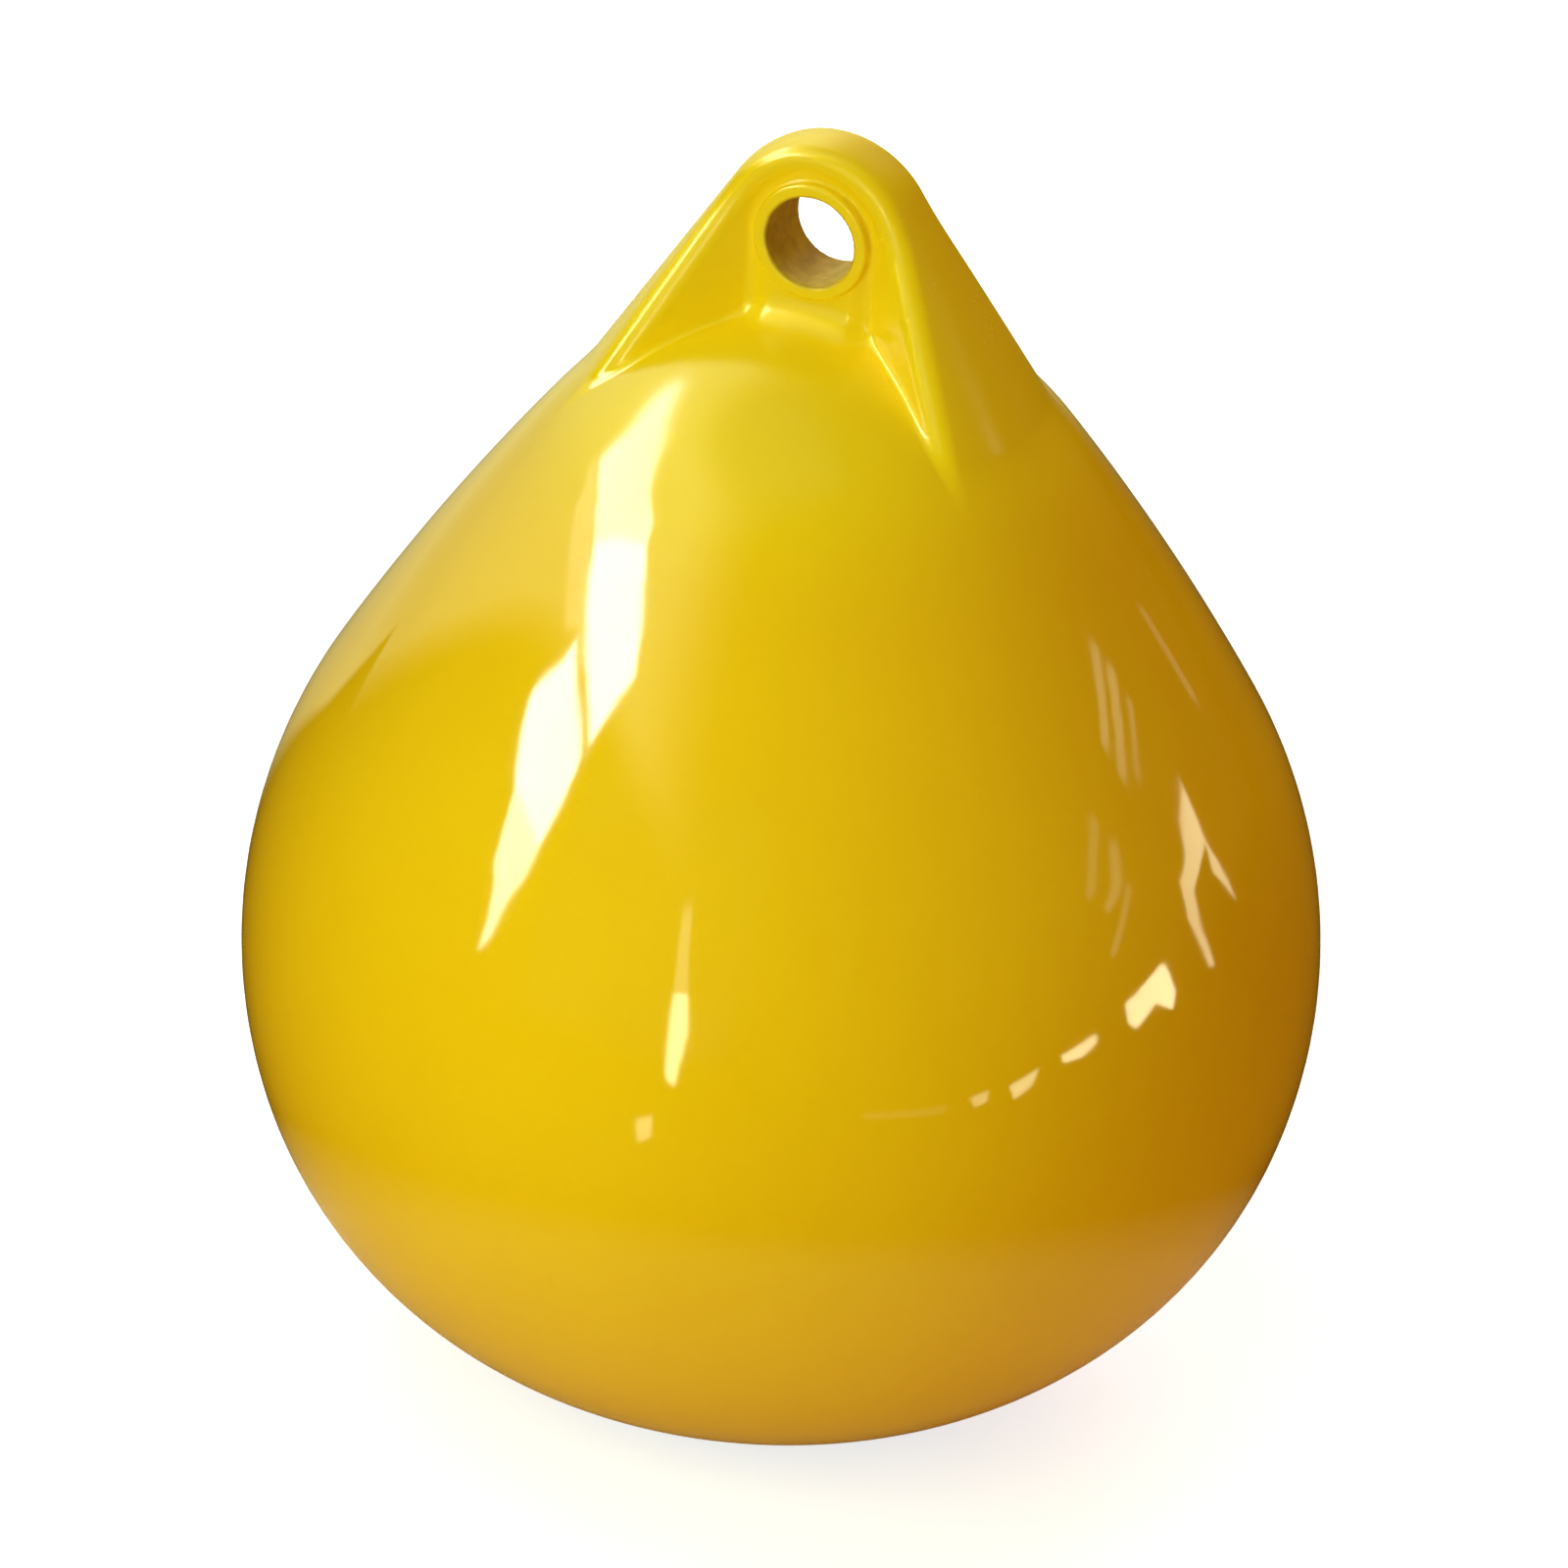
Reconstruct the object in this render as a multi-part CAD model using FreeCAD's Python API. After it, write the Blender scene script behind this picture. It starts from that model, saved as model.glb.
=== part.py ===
"""Inflatable teardrop buoy fender: a moulded shell with its rope eye, and a screw-plug air valve.

Millimetres. The origin is the centre of the rope eye's bore. +Z runs up the fender's axis, the bore
lies along Y, the eye's two ribs lie in the XZ plane, and the valve is on the +Y shoulder.
"""
import FreeCAD, Part
import math
import os

V = FreeCAD.Vector
Y_AXIS, Z_AXIS = V(0, 1, 0), V(0, 0, 1)

# Shell, measured from the plane where it is widest
BODY_RADIUS = 140.0
BODY_DEPTH = 125.0
CROWN_RISE = 178.5
WALL = 4.0

# Arcs of the shell's meridian. Crown and keel: share of an ellipse's arc at its pole
CROWN_ARC_SHARE = 0.797
KEEL_ARC_SHARE = 1.06
# Shoulder: share of the crown's rise. Upper waist: of the body's radius. The others: of its depth
SHOULDER_ARC_SHARE = 3.92
UPPER_WAIST_ARC_SHARE = 0.964
LOWER_WAIST_ARC_SHARE = 1.04
BILGE_ARC_SHARE = 0.908

# Rope eye: a cone with a domed tip, recessed front and back round a bored boss
BORE_ABOVE_CROWN = 22.1
EYE_TIP_RADIUS = 27.7
EYE_TIP_DROP = 2.6
# Where the cone lands on the shell, and how far its hidden root goes on: shares of radii
CREASE_SHARE = 0.891
EYE_ROOT_SHARE = 1.25
WEB_THICKNESS = 8.6
RECESS_HALF_WIDTH = 13.0
RECESS_WALL_ANGLE = 38.9
RIB_EDGE_FILLET = 5.0
RECESS_ROOT_FILLET = 3.0
BORE_RADIUS = 11.8
BOSS_THICKNESS = 18.0
BORE_LIP_WIDTH = 3.4
BORE_LIP_HEIGHT = 1.2
BOSS_STEP = 0.6

# Air valve on the rear shoulder: its distance from the fender's axis, and its seat in the shell
VALVE_OFFSET = 72.0
SEAT_RADIUS = 15.0
SEAT_HEIGHT = 1.6
SEAT_DEPTH = 11.0
SEAT_CHAMFER = 0.8

# Threaded insert, bonded into the seat
FLANGE_RADIUS = 11.0
FLANGE_THICKNESS = 1.8
FLANGE_CLEARANCE = 0.15
BARREL_RADIUS = 7.6
BARREL_LIP = 0.9
BARREL_LIP_LENGTH = 2.4
THREAD_RADIUS = 4.6

# Seal ring under the plug's head
SEAL_WIDTH = 2.0
SEAL_THICKNESS = 1.6
SEAL_RECESS_DEPTH = 1.2
SEAL_CLEARANCE = 0.1
SEAL_EDGE_CHAMFER = 0.4

# Screw plug
PLUG_HEAD_RADIUS = 8.6
PLUG_HEAD_THICKNESS = 2.8
PLUG_HEAD_CHAMFER = 0.5
PLUG_SHANK_LENGTH = 11.0
PLUG_TIP_CHAMFER = 0.8
PLUG_CLEARANCE = 0.05
SLOT_WIDTH = 1.8
SLOT_DEPTH = 1.5

EYE_RISE = CROWN_RISE + BORE_ABOVE_CROWN


def nested_centre(first, first_radius, second, second_radius, radius):
    """Centre, on the axis side, of an arc that blends two circles and lies nested with both of them."""
    to_first = abs(radius - first_radius)
    to_second = abs(radius - second_radius)
    line = second - first
    along = (line.Length ** 2 + to_first ** 2 - to_second ** 2) / (2 * line.Length)
    aside = math.sqrt(to_first ** 2 - along ** 2)
    line.normalize()
    square = Y_AXIS.cross(line)
    blended_is_larger = radius > first_radius
    if (square.x > 0) == blended_is_larger:
        square = square * -1.0
    return first + line * along + square * aside


def arc_through(centre, radius, start, finish):
    """Arc of the meridian plane between two directions from its centre, in radians above +X."""
    points = []
    for angle in (start, (start + finish) / 2, finish):
        points.append(centre + V(math.cos(angle), 0, math.sin(angle)) * radius)
    return Part.Arc(*points).toShape()


def angle_of(vector):
    return math.atan2(vector.z, vector.x)


def meridian_half(waist_radius, blend_radius, pole_share, pole_rise, inset):
    """Three arcs, tangent in turn, from the widest plane to a pole, all set inward by the same inset."""
    widest = -EYE_RISE
    way = math.copysign(1, pole_rise)
    pole_radius = pole_share * BODY_RADIUS ** 2 / abs(pole_rise)
    waist = V(BODY_RADIUS - waist_radius, 0, widest)
    pole = V(0, 0, widest + pole_rise - way * pole_radius)
    blend = nested_centre(waist, waist_radius, pole, pole_radius, blend_radius)
    larger = math.copysign(1, blend_radius - waist_radius)
    first_join = angle_of((waist - blend) * larger)
    second_join = angle_of((pole - blend) * larger)
    return [
        arc_through(waist, waist_radius - inset, 0, first_join),
        arc_through(blend, blend_radius - inset, first_join, second_join),
        arc_through(pole, pole_radius - inset, second_join, way * math.pi / 2),
    ]


def crown_half(inset):
    waist_radius = UPPER_WAIST_ARC_SHARE * BODY_RADIUS
    shoulder_radius = SHOULDER_ARC_SHARE * CROWN_RISE
    return meridian_half(waist_radius, shoulder_radius, CROWN_ARC_SHARE, CROWN_RISE, inset)


def keel_half(inset):
    waist_radius = LOWER_WAIST_ARC_SHARE * BODY_DEPTH
    bilge_radius = BILGE_ARC_SHARE * BODY_DEPTH
    return meridian_half(waist_radius, bilge_radius, KEEL_ARC_SHARE, -BODY_DEPTH, inset)


def turned_shell(inset):
    """Solid turned about the fender's axis, its outline set inward by the inset."""
    arcs = crown_half(inset) + keel_half(inset)
    top = V(0, 0, CROWN_RISE - EYE_RISE - inset)
    bottom = V(0, 0, inset - BODY_DEPTH - EYE_RISE)
    edges = arcs + [Part.LineSegment(top, bottom).toShape()]
    face = Part.Face(Part.Wire(Part.__sortEdges__(edges)))
    return face.revolve(V(), Z_AXIS, 360)


def crease_point():
    """Where the eye's cone lands on the shell: on the crown's arc, a share of the way to its rim."""
    crown = crown_half(0)[-1]
    radius = CREASE_SHARE * max(vertex.X for vertex in crown.Vertexes)
    rise = math.sqrt(crown.Curve.Radius ** 2 - radius ** 2)
    return V(radius, 0, crown.Curve.Center.z + rise)


def root_radius():
    """Radius of the cone's hidden end inside the shell."""
    return EYE_ROOT_SHARE * crease_point().x


def neck():
    """Cone with a domed tip, from which the rope eye is cut."""
    centre = V(0, 0, -EYE_TIP_DROP)
    slant = crease_point() - centre
    angle = math.atan2(slant.x, -slant.z) - math.asin(EYE_TIP_RADIUS / slant.Length)
    tangent = V(math.cos(angle), 0, math.sin(angle))
    shoulder = centre + tangent * EYE_TIP_RADIUS
    root = V(root_radius(), 0, shoulder.z - (root_radius() - shoulder.x) / math.tan(angle))
    foot = V(0, 0, root.z)
    edges = [
        arc_through(centre, EYE_TIP_RADIUS, math.pi / 2, angle),
        Part.LineSegment(shoulder, root).toShape(),
        Part.LineSegment(root, foot).toShape(),
        Part.LineSegment(foot, centre + V(0, 0, EYE_TIP_RADIUS)).toShape(),
    ]
    return Part.Face(Part.Wire(edges)).revolve(V(), Z_AXIS, 360)


def recess(side):
    """Flared recess in front of the web (side -1) or behind it (side 1), arched over the bore."""
    near = WEB_THICKNESS / 2
    far = root_radius()
    reach = far - near
    spread = reach / math.tan(math.radians(RECESS_WALL_ANGLE))
    wide = RECESS_HALF_WIDTH + spread
    arch = Part.makeCone(RECESS_HALF_WIDTH, wide, reach, V(0, side * near, 0), Y_AXIS * side)
    corners = [
        V(-RECESS_HALF_WIDTH, side * near, 0),
        V(RECESS_HALF_WIDTH, side * near, 0),
        V(wide, side * far, 0),
        V(-wide, side * far, 0),
    ]
    legs = Part.Face(Part.makePolygon(corners + corners[:1])).extrude(Z_AXIS * (-2 * far))
    return arch.fuse(legs).removeSplitter()


def bore_cylinder(radius, length):
    return Part.makeCylinder(radius, length, V(0, -length / 2, 0), Y_AXIS)


def boss():
    """Round-topped boss that carries the bore's wall down to the shell."""
    radius = BORE_RADIUS + BORE_LIP_WIDTH - BOSS_STEP
    depth = BORE_ABOVE_CROWN + WALL / 2
    column = Part.makeBox(2 * radius, BOSS_THICKNESS, depth, V(-radius, -BOSS_THICKNESS / 2, -depth))
    return bore_cylinder(radius, BOSS_THICKNESS).fuse(column).removeSplitter()


def bore_lip():
    """Rounded ring that stands proud of the boss at both mouths of the bore."""
    length = BOSS_THICKNESS + 2 * BORE_LIP_HEIGHT
    ring = bore_cylinder(BORE_RADIUS + BORE_LIP_WIDTH, length)
    ring = ring.cut(bore_cylinder(BORE_RADIUS, 2 * length))
    rims = [edge for edge in ring.Edges if abs(abs(edge.CenterOfMass.y) - length / 2) < 0.01]
    return ring.makeFillet(BORE_LIP_HEIGHT, rims)


def face_group(face):
    """Which part of the fender a face belongs to, told by the surface that it lies on."""
    surface = face.Surface
    if isinstance(surface, Part.Toroid):
        return "shell"
    if isinstance(surface, Part.Sphere):
        return "rib" if abs(surface.Radius - EYE_TIP_RADIUS) < 0.001 else "shell"
    if isinstance(surface, Part.Cone):
        return "rib" if abs(surface.Axis.z) > 0.5 else "recess"
    if isinstance(surface, Part.Plane):
        along_an_axis = max(abs(surface.Axis.x), abs(surface.Axis.y)) > 0.999
        return "boss" if along_an_axis else "recess"
    return "boss"


def edges_between(solid, first_groups, second_group):
    """Edges where a face of one of the first groups meets a face of the second group."""
    found = []
    for edge in solid.Edges:
        groups = [face_group(face) for face in solid.ancestorsOfType(edge, Part.Face)]
        if second_group in groups and any(group in first_groups for group in groups):
            found.append(edge)
    return found


def rounded(solid, radius, first_groups, second_group):
    """The solid with the edges between two sorts of face rounded."""
    return solid.makeFillet(radius, edges_between(solid, first_groups, second_group)).Solids[0]


def shoulder_frame(radius):
    """Placement of a feature's axis, square to the shell on the rear shoulder, at a given radius."""
    plane = Part.makeLine(V(radius, 0, -EYE_RISE), V(radius, 0, CROWN_RISE))
    for arc in crown_half(0):
        gap, points, _ = arc.distToShape(plane)
        if gap < 1e-6:
            point = points[0][0]
            outward = point - arc.Curve.Center
    turn = FreeCAD.Rotation(Z_AXIS, V(0, outward.x, outward.z))
    return FreeCAD.Placement(V(0, point.x, point.z), turn)


def disc(radius, bottom, top):
    return Part.makeCylinder(radius, top - bottom, V(0, 0, bottom), Z_AXIS)


def circles_at(solid, height, radius):
    """Circular edges of a turned solid at a height along its axis and of a given radius."""
    return [
        edge for edge in solid.Edges
        if isinstance(edge.Curve, Part.Circle)
        and abs(edge.Curve.Center.z - height) < 0.001
        and abs(edge.Curve.Radius - radius) < 0.001
    ]


def valve_seat():
    """Pad moulded on the shell round the valve, with a chamfered rim."""
    pad = disc(SEAT_RADIUS, -SEAT_DEPTH, SEAT_HEIGHT)
    return pad.makeChamfer(SEAT_CHAMFER, circles_at(pad, SEAT_HEIGHT, SEAT_RADIUS))


def valve_port():
    """Space that the insert's flange and barrel take in the seat."""
    recess_floor = SEAT_HEIGHT - FLANGE_THICKNESS
    port = disc(FLANGE_RADIUS + FLANGE_CLEARANCE, recess_floor, 2 * SEAT_RADIUS)
    return port.fuse(disc(BARREL_RADIUS, -2 * SEAT_RADIUS, recess_floor))


def fender_body(valve_place):
    eye = neck().cut(recess(-1)).cut(recess(1)).fuse(boss())
    body = turned_shell(0).fuse(eye).removeSplitter().Solids[0]
    body = rounded(body, RIB_EDGE_FILLET, ["recess"], "rib")
    body = rounded(body, RECESS_ROOT_FILLET, ["recess", "boss"], "shell")
    body = body.fuse(bore_lip()).cut(bore_cylinder(BORE_RADIUS, 2 * BOSS_THICKNESS))
    seat = valve_seat()
    seat.Placement = valve_place
    port = valve_port()
    port.Placement = valve_place
    body = body.cut(turned_shell(WALL).cut(seat)).fuse(seat).cut(port)
    return body.removeSplitter()


def valve_insert():
    """Flanged bush with a seal recess on top and a retaining lip inside the shell."""
    floor = SEAT_HEIGHT - FLANGE_THICKNESS
    lip_top = -SEAT_DEPTH
    lip_bottom = lip_top - BARREL_LIP_LENGTH
    bush = disc(FLANGE_RADIUS, floor, SEAT_HEIGHT).fuse(disc(BARREL_RADIUS, lip_top, floor))
    lip_radius = BARREL_RADIUS + BARREL_LIP
    lip = Part.makeCone(BARREL_RADIUS, lip_radius, BARREL_LIP_LENGTH, V(0, 0, lip_bottom), Z_AXIS)
    seal_pocket = disc(seal_radii()[1] + SEAL_CLEARANCE, SEAT_HEIGHT - SEAL_RECESS_DEPTH, 2 * SEAT_HEIGHT)
    hole = disc(THREAD_RADIUS, 2 * lip_bottom, 2 * SEAT_HEIGHT)
    return bush.fuse(lip).cut(seal_pocket).cut(hole).removeSplitter()


def seal_radii():
    inner = THREAD_RADIUS + SEAL_CLEARANCE
    return inner, inner + SEAL_WIDTH


def seal_top():
    return SEAT_HEIGHT - SEAL_RECESS_DEPTH + SEAL_THICKNESS


def valve_seal():
    """Ring that the plug's head presses into the insert's recess."""
    inner, outer = seal_radii()
    bottom = seal_top() - SEAL_THICKNESS
    ring = disc(outer, bottom, seal_top()).cut(disc(inner, bottom, seal_top()))
    rims = circles_at(ring, seal_top(), outer) + circles_at(ring, bottom, outer)
    return ring.makeChamfer(SEAL_EDGE_CHAMFER, rims)


def valve_plug():
    """Screw plug with a coin slot; its thread is drawn as a plain shank."""
    under_head = seal_top()
    head_top = under_head + PLUG_HEAD_THICKNESS
    shank_radius = THREAD_RADIUS - PLUG_CLEARANCE
    tip = under_head - PLUG_SHANK_LENGTH
    head = disc(PLUG_HEAD_RADIUS, under_head, head_top)
    head = head.makeChamfer(PLUG_HEAD_CHAMFER, circles_at(head, head_top, PLUG_HEAD_RADIUS))
    shank = disc(shank_radius, tip, under_head)
    shank = shank.makeChamfer(PLUG_TIP_CHAMFER, circles_at(shank, tip, shank_radius))
    slot_length = 2 * PLUG_HEAD_RADIUS
    slot = Part.makeBox(
        2 * slot_length, SLOT_WIDTH, 2 * SLOT_DEPTH,
        V(-slot_length, -SLOT_WIDTH / 2, head_top - SLOT_DEPTH),
    )
    return head.fuse(shank).cut(slot).removeSplitter()


def save(shape, node):
    shape.exportStep("parts/" + node + ".step")


def main():
    os.makedirs("parts", exist_ok=True)
    valve_place = shoulder_frame(VALVE_OFFSET)
    save(fender_body(valve_place), "fender_body")
    for node, make in (
        ("valve_insert", valve_insert),
        ("valve_seal", valve_seal),
        ("valve_plug", valve_plug),
    ):
        piece = make()
        piece.Placement = valve_place
        save(piece, node)


main()
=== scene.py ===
"""Looks of an inflatable teardrop boat fender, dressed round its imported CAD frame.

Metres, in the frame of the CAD: the origin is the centre of the rope eye's bore, +Z runs up the
fender's axis, the bore lies along Y and the air valve is on the +Y shoulder.
"""

import logging
import math
from collections.abc import Callable
from dataclasses import dataclass, field, fields
from enum import Enum

import bmesh
import bpy
import numpy as np
from mathutils import Matrix, Vector

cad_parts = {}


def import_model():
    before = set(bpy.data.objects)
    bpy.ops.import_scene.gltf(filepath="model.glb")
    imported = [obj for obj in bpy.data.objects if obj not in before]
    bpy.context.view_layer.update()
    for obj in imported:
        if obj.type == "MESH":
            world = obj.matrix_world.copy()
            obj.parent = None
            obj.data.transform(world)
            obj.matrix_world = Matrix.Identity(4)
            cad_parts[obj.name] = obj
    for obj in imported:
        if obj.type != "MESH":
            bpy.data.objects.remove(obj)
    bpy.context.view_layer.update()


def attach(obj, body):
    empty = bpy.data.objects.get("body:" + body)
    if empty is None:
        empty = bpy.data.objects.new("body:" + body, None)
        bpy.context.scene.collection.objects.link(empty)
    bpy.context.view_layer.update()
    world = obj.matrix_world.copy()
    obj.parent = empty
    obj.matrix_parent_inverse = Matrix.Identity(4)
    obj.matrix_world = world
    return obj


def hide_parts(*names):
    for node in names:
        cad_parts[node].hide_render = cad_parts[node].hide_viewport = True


LOG = logging.getLogger("fender")
MM = 0.001
FULL_TURN = 2 * math.pi

ANGLE_SLACK = 1e-9
TINY = 1e-9
NOWHERE = 1e3
SLOPE_STEP = 0.01 * MM
LEAST_SLOPE = 0.05
MERGE_DISTANCE = 0.001 * MM
POLE_SLACK = 1e-6
SADDLE_ROUNDS = 6
COARSE_SETTLING = 3
FINE_SETTLING = 6
NOISE_BAND = (0.3, 0.7)

Points = np.ndarray
Faces = list[tuple[int, ...]]
Form = Callable[[Points], Points]
Colour = tuple[float, float, float]
Range = tuple[float, float]
Socket = bpy.types.NodeSocket
Sockets = bpy.types.bpy_prop_collection


class Body(Enum):
    """CAD bodies that the pieces ride on."""

    FENDER = "fender"
    SEAL = "seal"
    PLUG = "plug"


class Slot(Enum):
    """Material slots of the record."""

    FENDER_PVC = "fender_pvc"
    VALVE_PLASTIC = "valve_plastic"
    SEAL_RUBBER = "seal_rubber"
    PLUG_PLASTIC = "plug_plastic"


class Effect(Enum):
    """Shared shader effects, by the names of their node groups."""

    MOULDED = "moulded_tone"
    GRAIN = "fine_grain"


def direction(azimuth: float | Points, elevation: float | Points) -> Points:
    """Unit vectors for angles in degrees, with azimuth 0 towards -Y and 90 towards +X.

    Args:
        azimuth: One angle or an array of them.
        elevation: As many angles above the horizontal.

    Returns:
        The vectors, three numbers each.
    """
    az, el = np.radians(azimuth), np.radians(elevation)
    return np.stack([np.sin(az) * np.cos(el), -np.cos(az) * np.cos(el), np.sin(el)], -1)


def unit_circle(count: int) -> tuple[Points, Points]:
    """Cosines and sines of evenly spread angles."""
    angles = FULL_TURN * np.arange(count) / count
    return np.cos(angles), np.sin(angles)


# ---------------------------------------------------------------- forms


def round_join(first: Points, second: Points, radius: float | Points) -> Points:
    """Union of two forms with a round fillet between them.

    Args:
        first: Signed distances to one form, negative inside.
        second: Signed distances to the other form.
        radius: Radius of the fillet.

    Returns:
        Signed distances to the union.
    """
    near_first = np.maximum(radius - first, 0)
    near_second = np.maximum(radius - second, 0)
    return np.maximum(radius, np.minimum(first, second)) - np.hypot(near_first, near_second)


def round_cut(first: Points, cutter: Points, radius: float | Points) -> Points:
    """A form less a cutter, with the edge between them rounded.

    Args:
        first: Signed distances to the form that is cut.
        cutter: Signed distances to the cutter.
        radius: Radius of the rounded edge.

    Returns:
        Signed distances to what is left.
    """
    return -round_join(-first, cutter, radius)


def rounded_rim(across: Points, along: Points, fillet: float) -> Points:
    """A disc or block whose side and end meet in a round fillet.

    Args:
        across: Signed distances to the side, negative inside.
        along: Signed distances to the end, negative inside.
        fillet: Radius of the fillet.

    Returns:
        Signed distances to the form.
    """
    across, along = across + fillet, along + fillet
    outside = np.hypot(np.maximum(across, 0), np.maximum(along, 0))
    return outside + np.minimum(np.maximum(across, along), 0) - fillet


@dataclass(frozen=True)
class Arc:
    """Arc of the fender's meridian, in the half plane of radius and height."""

    centre: tuple[float, float]
    radius: float
    start: float
    finish: float

    def point(self, angle: float) -> tuple[float, float]:
        """Radius and height of the arc's point at an angle above the horizontal.

        Args:
            angle: The angle in radians.

        Returns:
            The radius and the height.
        """
        return (
            self.centre[0] + self.radius * math.cos(angle),
            self.centre[1] + self.radius * math.sin(angle),
        )

    def angle_at(self, radius: float) -> float:
        """Angle of the circle's upper point at a distance from the fender's axis."""
        return math.acos(min(1.0, (radius - self.centre[0]) / self.radius))

    def holds(self, angle: float | Points) -> bool | Points:
        """Whether an angle lies between the arc's ends."""
        low, high = sorted((self.start, self.finish))
        return (angle >= low - ANGLE_SLACK) & (angle <= high + ANGLE_SLACK)

    def distance(self, rho: Points, z: Points) -> Points:
        """Signed distance to the arc in its own sector, and a large number elsewhere.

        Args:
            rho: Distances from the fender's axis.
            z: Heights.

        Returns:
            Signed distances, negative inside the fender.
        """
        angle = np.arctan2(z - self.centre[1], rho - self.centre[0])
        reach = np.hypot(rho - self.centre[0], z - self.centre[1])
        return np.where(self.holds(angle), reach - self.radius, NOWHERE)


@dataclass
class Meridian:
    """Outline that the shell is turned from: three tangent arcs over its waist and three under."""

    body_radius: float = 140 * MM
    body_depth: float = 125 * MM
    crown_rise: float = 178.5 * MM
    bore_above_crown: float = 22.1 * MM
    skin_inset: float = 0.06 * MM
    crown_share: float = 0.797
    keel_share: float = 1.06
    shoulder_share: float = 3.92
    upper_waist_share: float = 0.964
    lower_waist_share: float = 1.04
    bilge_share: float = 0.908

    def __post_init__(self) -> None:
        """Works the arcs out once, the crown's and the keel's, both from the top down."""
        self.widest = -(self.crown_rise + self.bore_above_crown)
        self.crown = self.half(
            self.upper_waist_share * self.body_radius,
            self.shoulder_share * self.crown_rise,
            self.crown_share,
            self.crown_rise,
        )[::-1]
        self.keel = self.half(
            self.lower_waist_share * self.body_depth,
            self.bilge_share * self.body_depth,
            self.keel_share,
            -self.body_depth,
        )

    def half(self, waist: float, blend: float, share: float, rise: float) -> list[Arc]:
        """Three arcs from the widest plane to a pole.

        Args:
            waist: Radius of the arc at the widest plane.
            blend: Radius of the arc between waist and pole.
            share: Radius at the pole, as a share of an ellipse's there.
            rise: Height of the pole over the widest plane, negative below it.

        Returns:
            The arcs, in order from the widest plane.
        """
        way = math.copysign(1, rise)
        pole = share * self.body_radius**2 / abs(rise)
        first = np.array([self.body_radius - waist, self.widest])
        second = np.array([0.0, self.widest + rise - way * pole])
        to_first, to_second = abs(blend - waist), abs(blend - pole)
        line = second - first
        length = float(np.hypot(*line))
        along = (length**2 + to_first**2 - to_second**2) / (2 * length)
        aside = math.sqrt(to_first**2 - along**2)
        unit = line / length
        square = np.array([unit[1], -unit[0]])
        larger = math.copysign(1, blend - waist)
        if (square[0] > 0) == (larger > 0):
            square = -square
        centre = first + unit * along + square * aside
        joins = [math.atan2(*((end - centre) * larger)[::-1]) for end in (first, second)]
        inset = self.skin_inset
        return [
            Arc(tuple(first), waist - inset, 0.0, joins[0]),
            Arc(tuple(centre), blend - inset, joins[0], joins[1]),
            Arc(tuple(second), pole - inset, joins[1], way * math.pi / 2),
        ]

    def distance(self, points: Points) -> Points:
        """Signed distance to the turned shell.

        Args:
            points: Array of points, three numbers each.

        Returns:
            Signed distances, negative inside.
        """
        rho, z = np.hypot(points[..., 0], points[..., 1]), points[..., 2]
        found = np.full(rho.shape, NOWHERE)
        for arc in self.crown + self.keel:
            here = arc.distance(rho, z)
            found = np.where(np.abs(here) < np.abs(found), here, found)
        return found

    def at_radius(self, radius: float) -> tuple[float, float]:
        """Height of the upper shell at a distance from the axis, and its normal's elevation.

        Args:
            radius: Distance from the axis.

        Returns:
            The height and the elevation in radians.
        """
        for arc in self.crown:
            angle = arc.angle_at(radius)
            if arc.holds(angle):
                return arc.point(angle)[1], angle
        raise ValueError(f"the shell has no point at radius {radius}")


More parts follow.
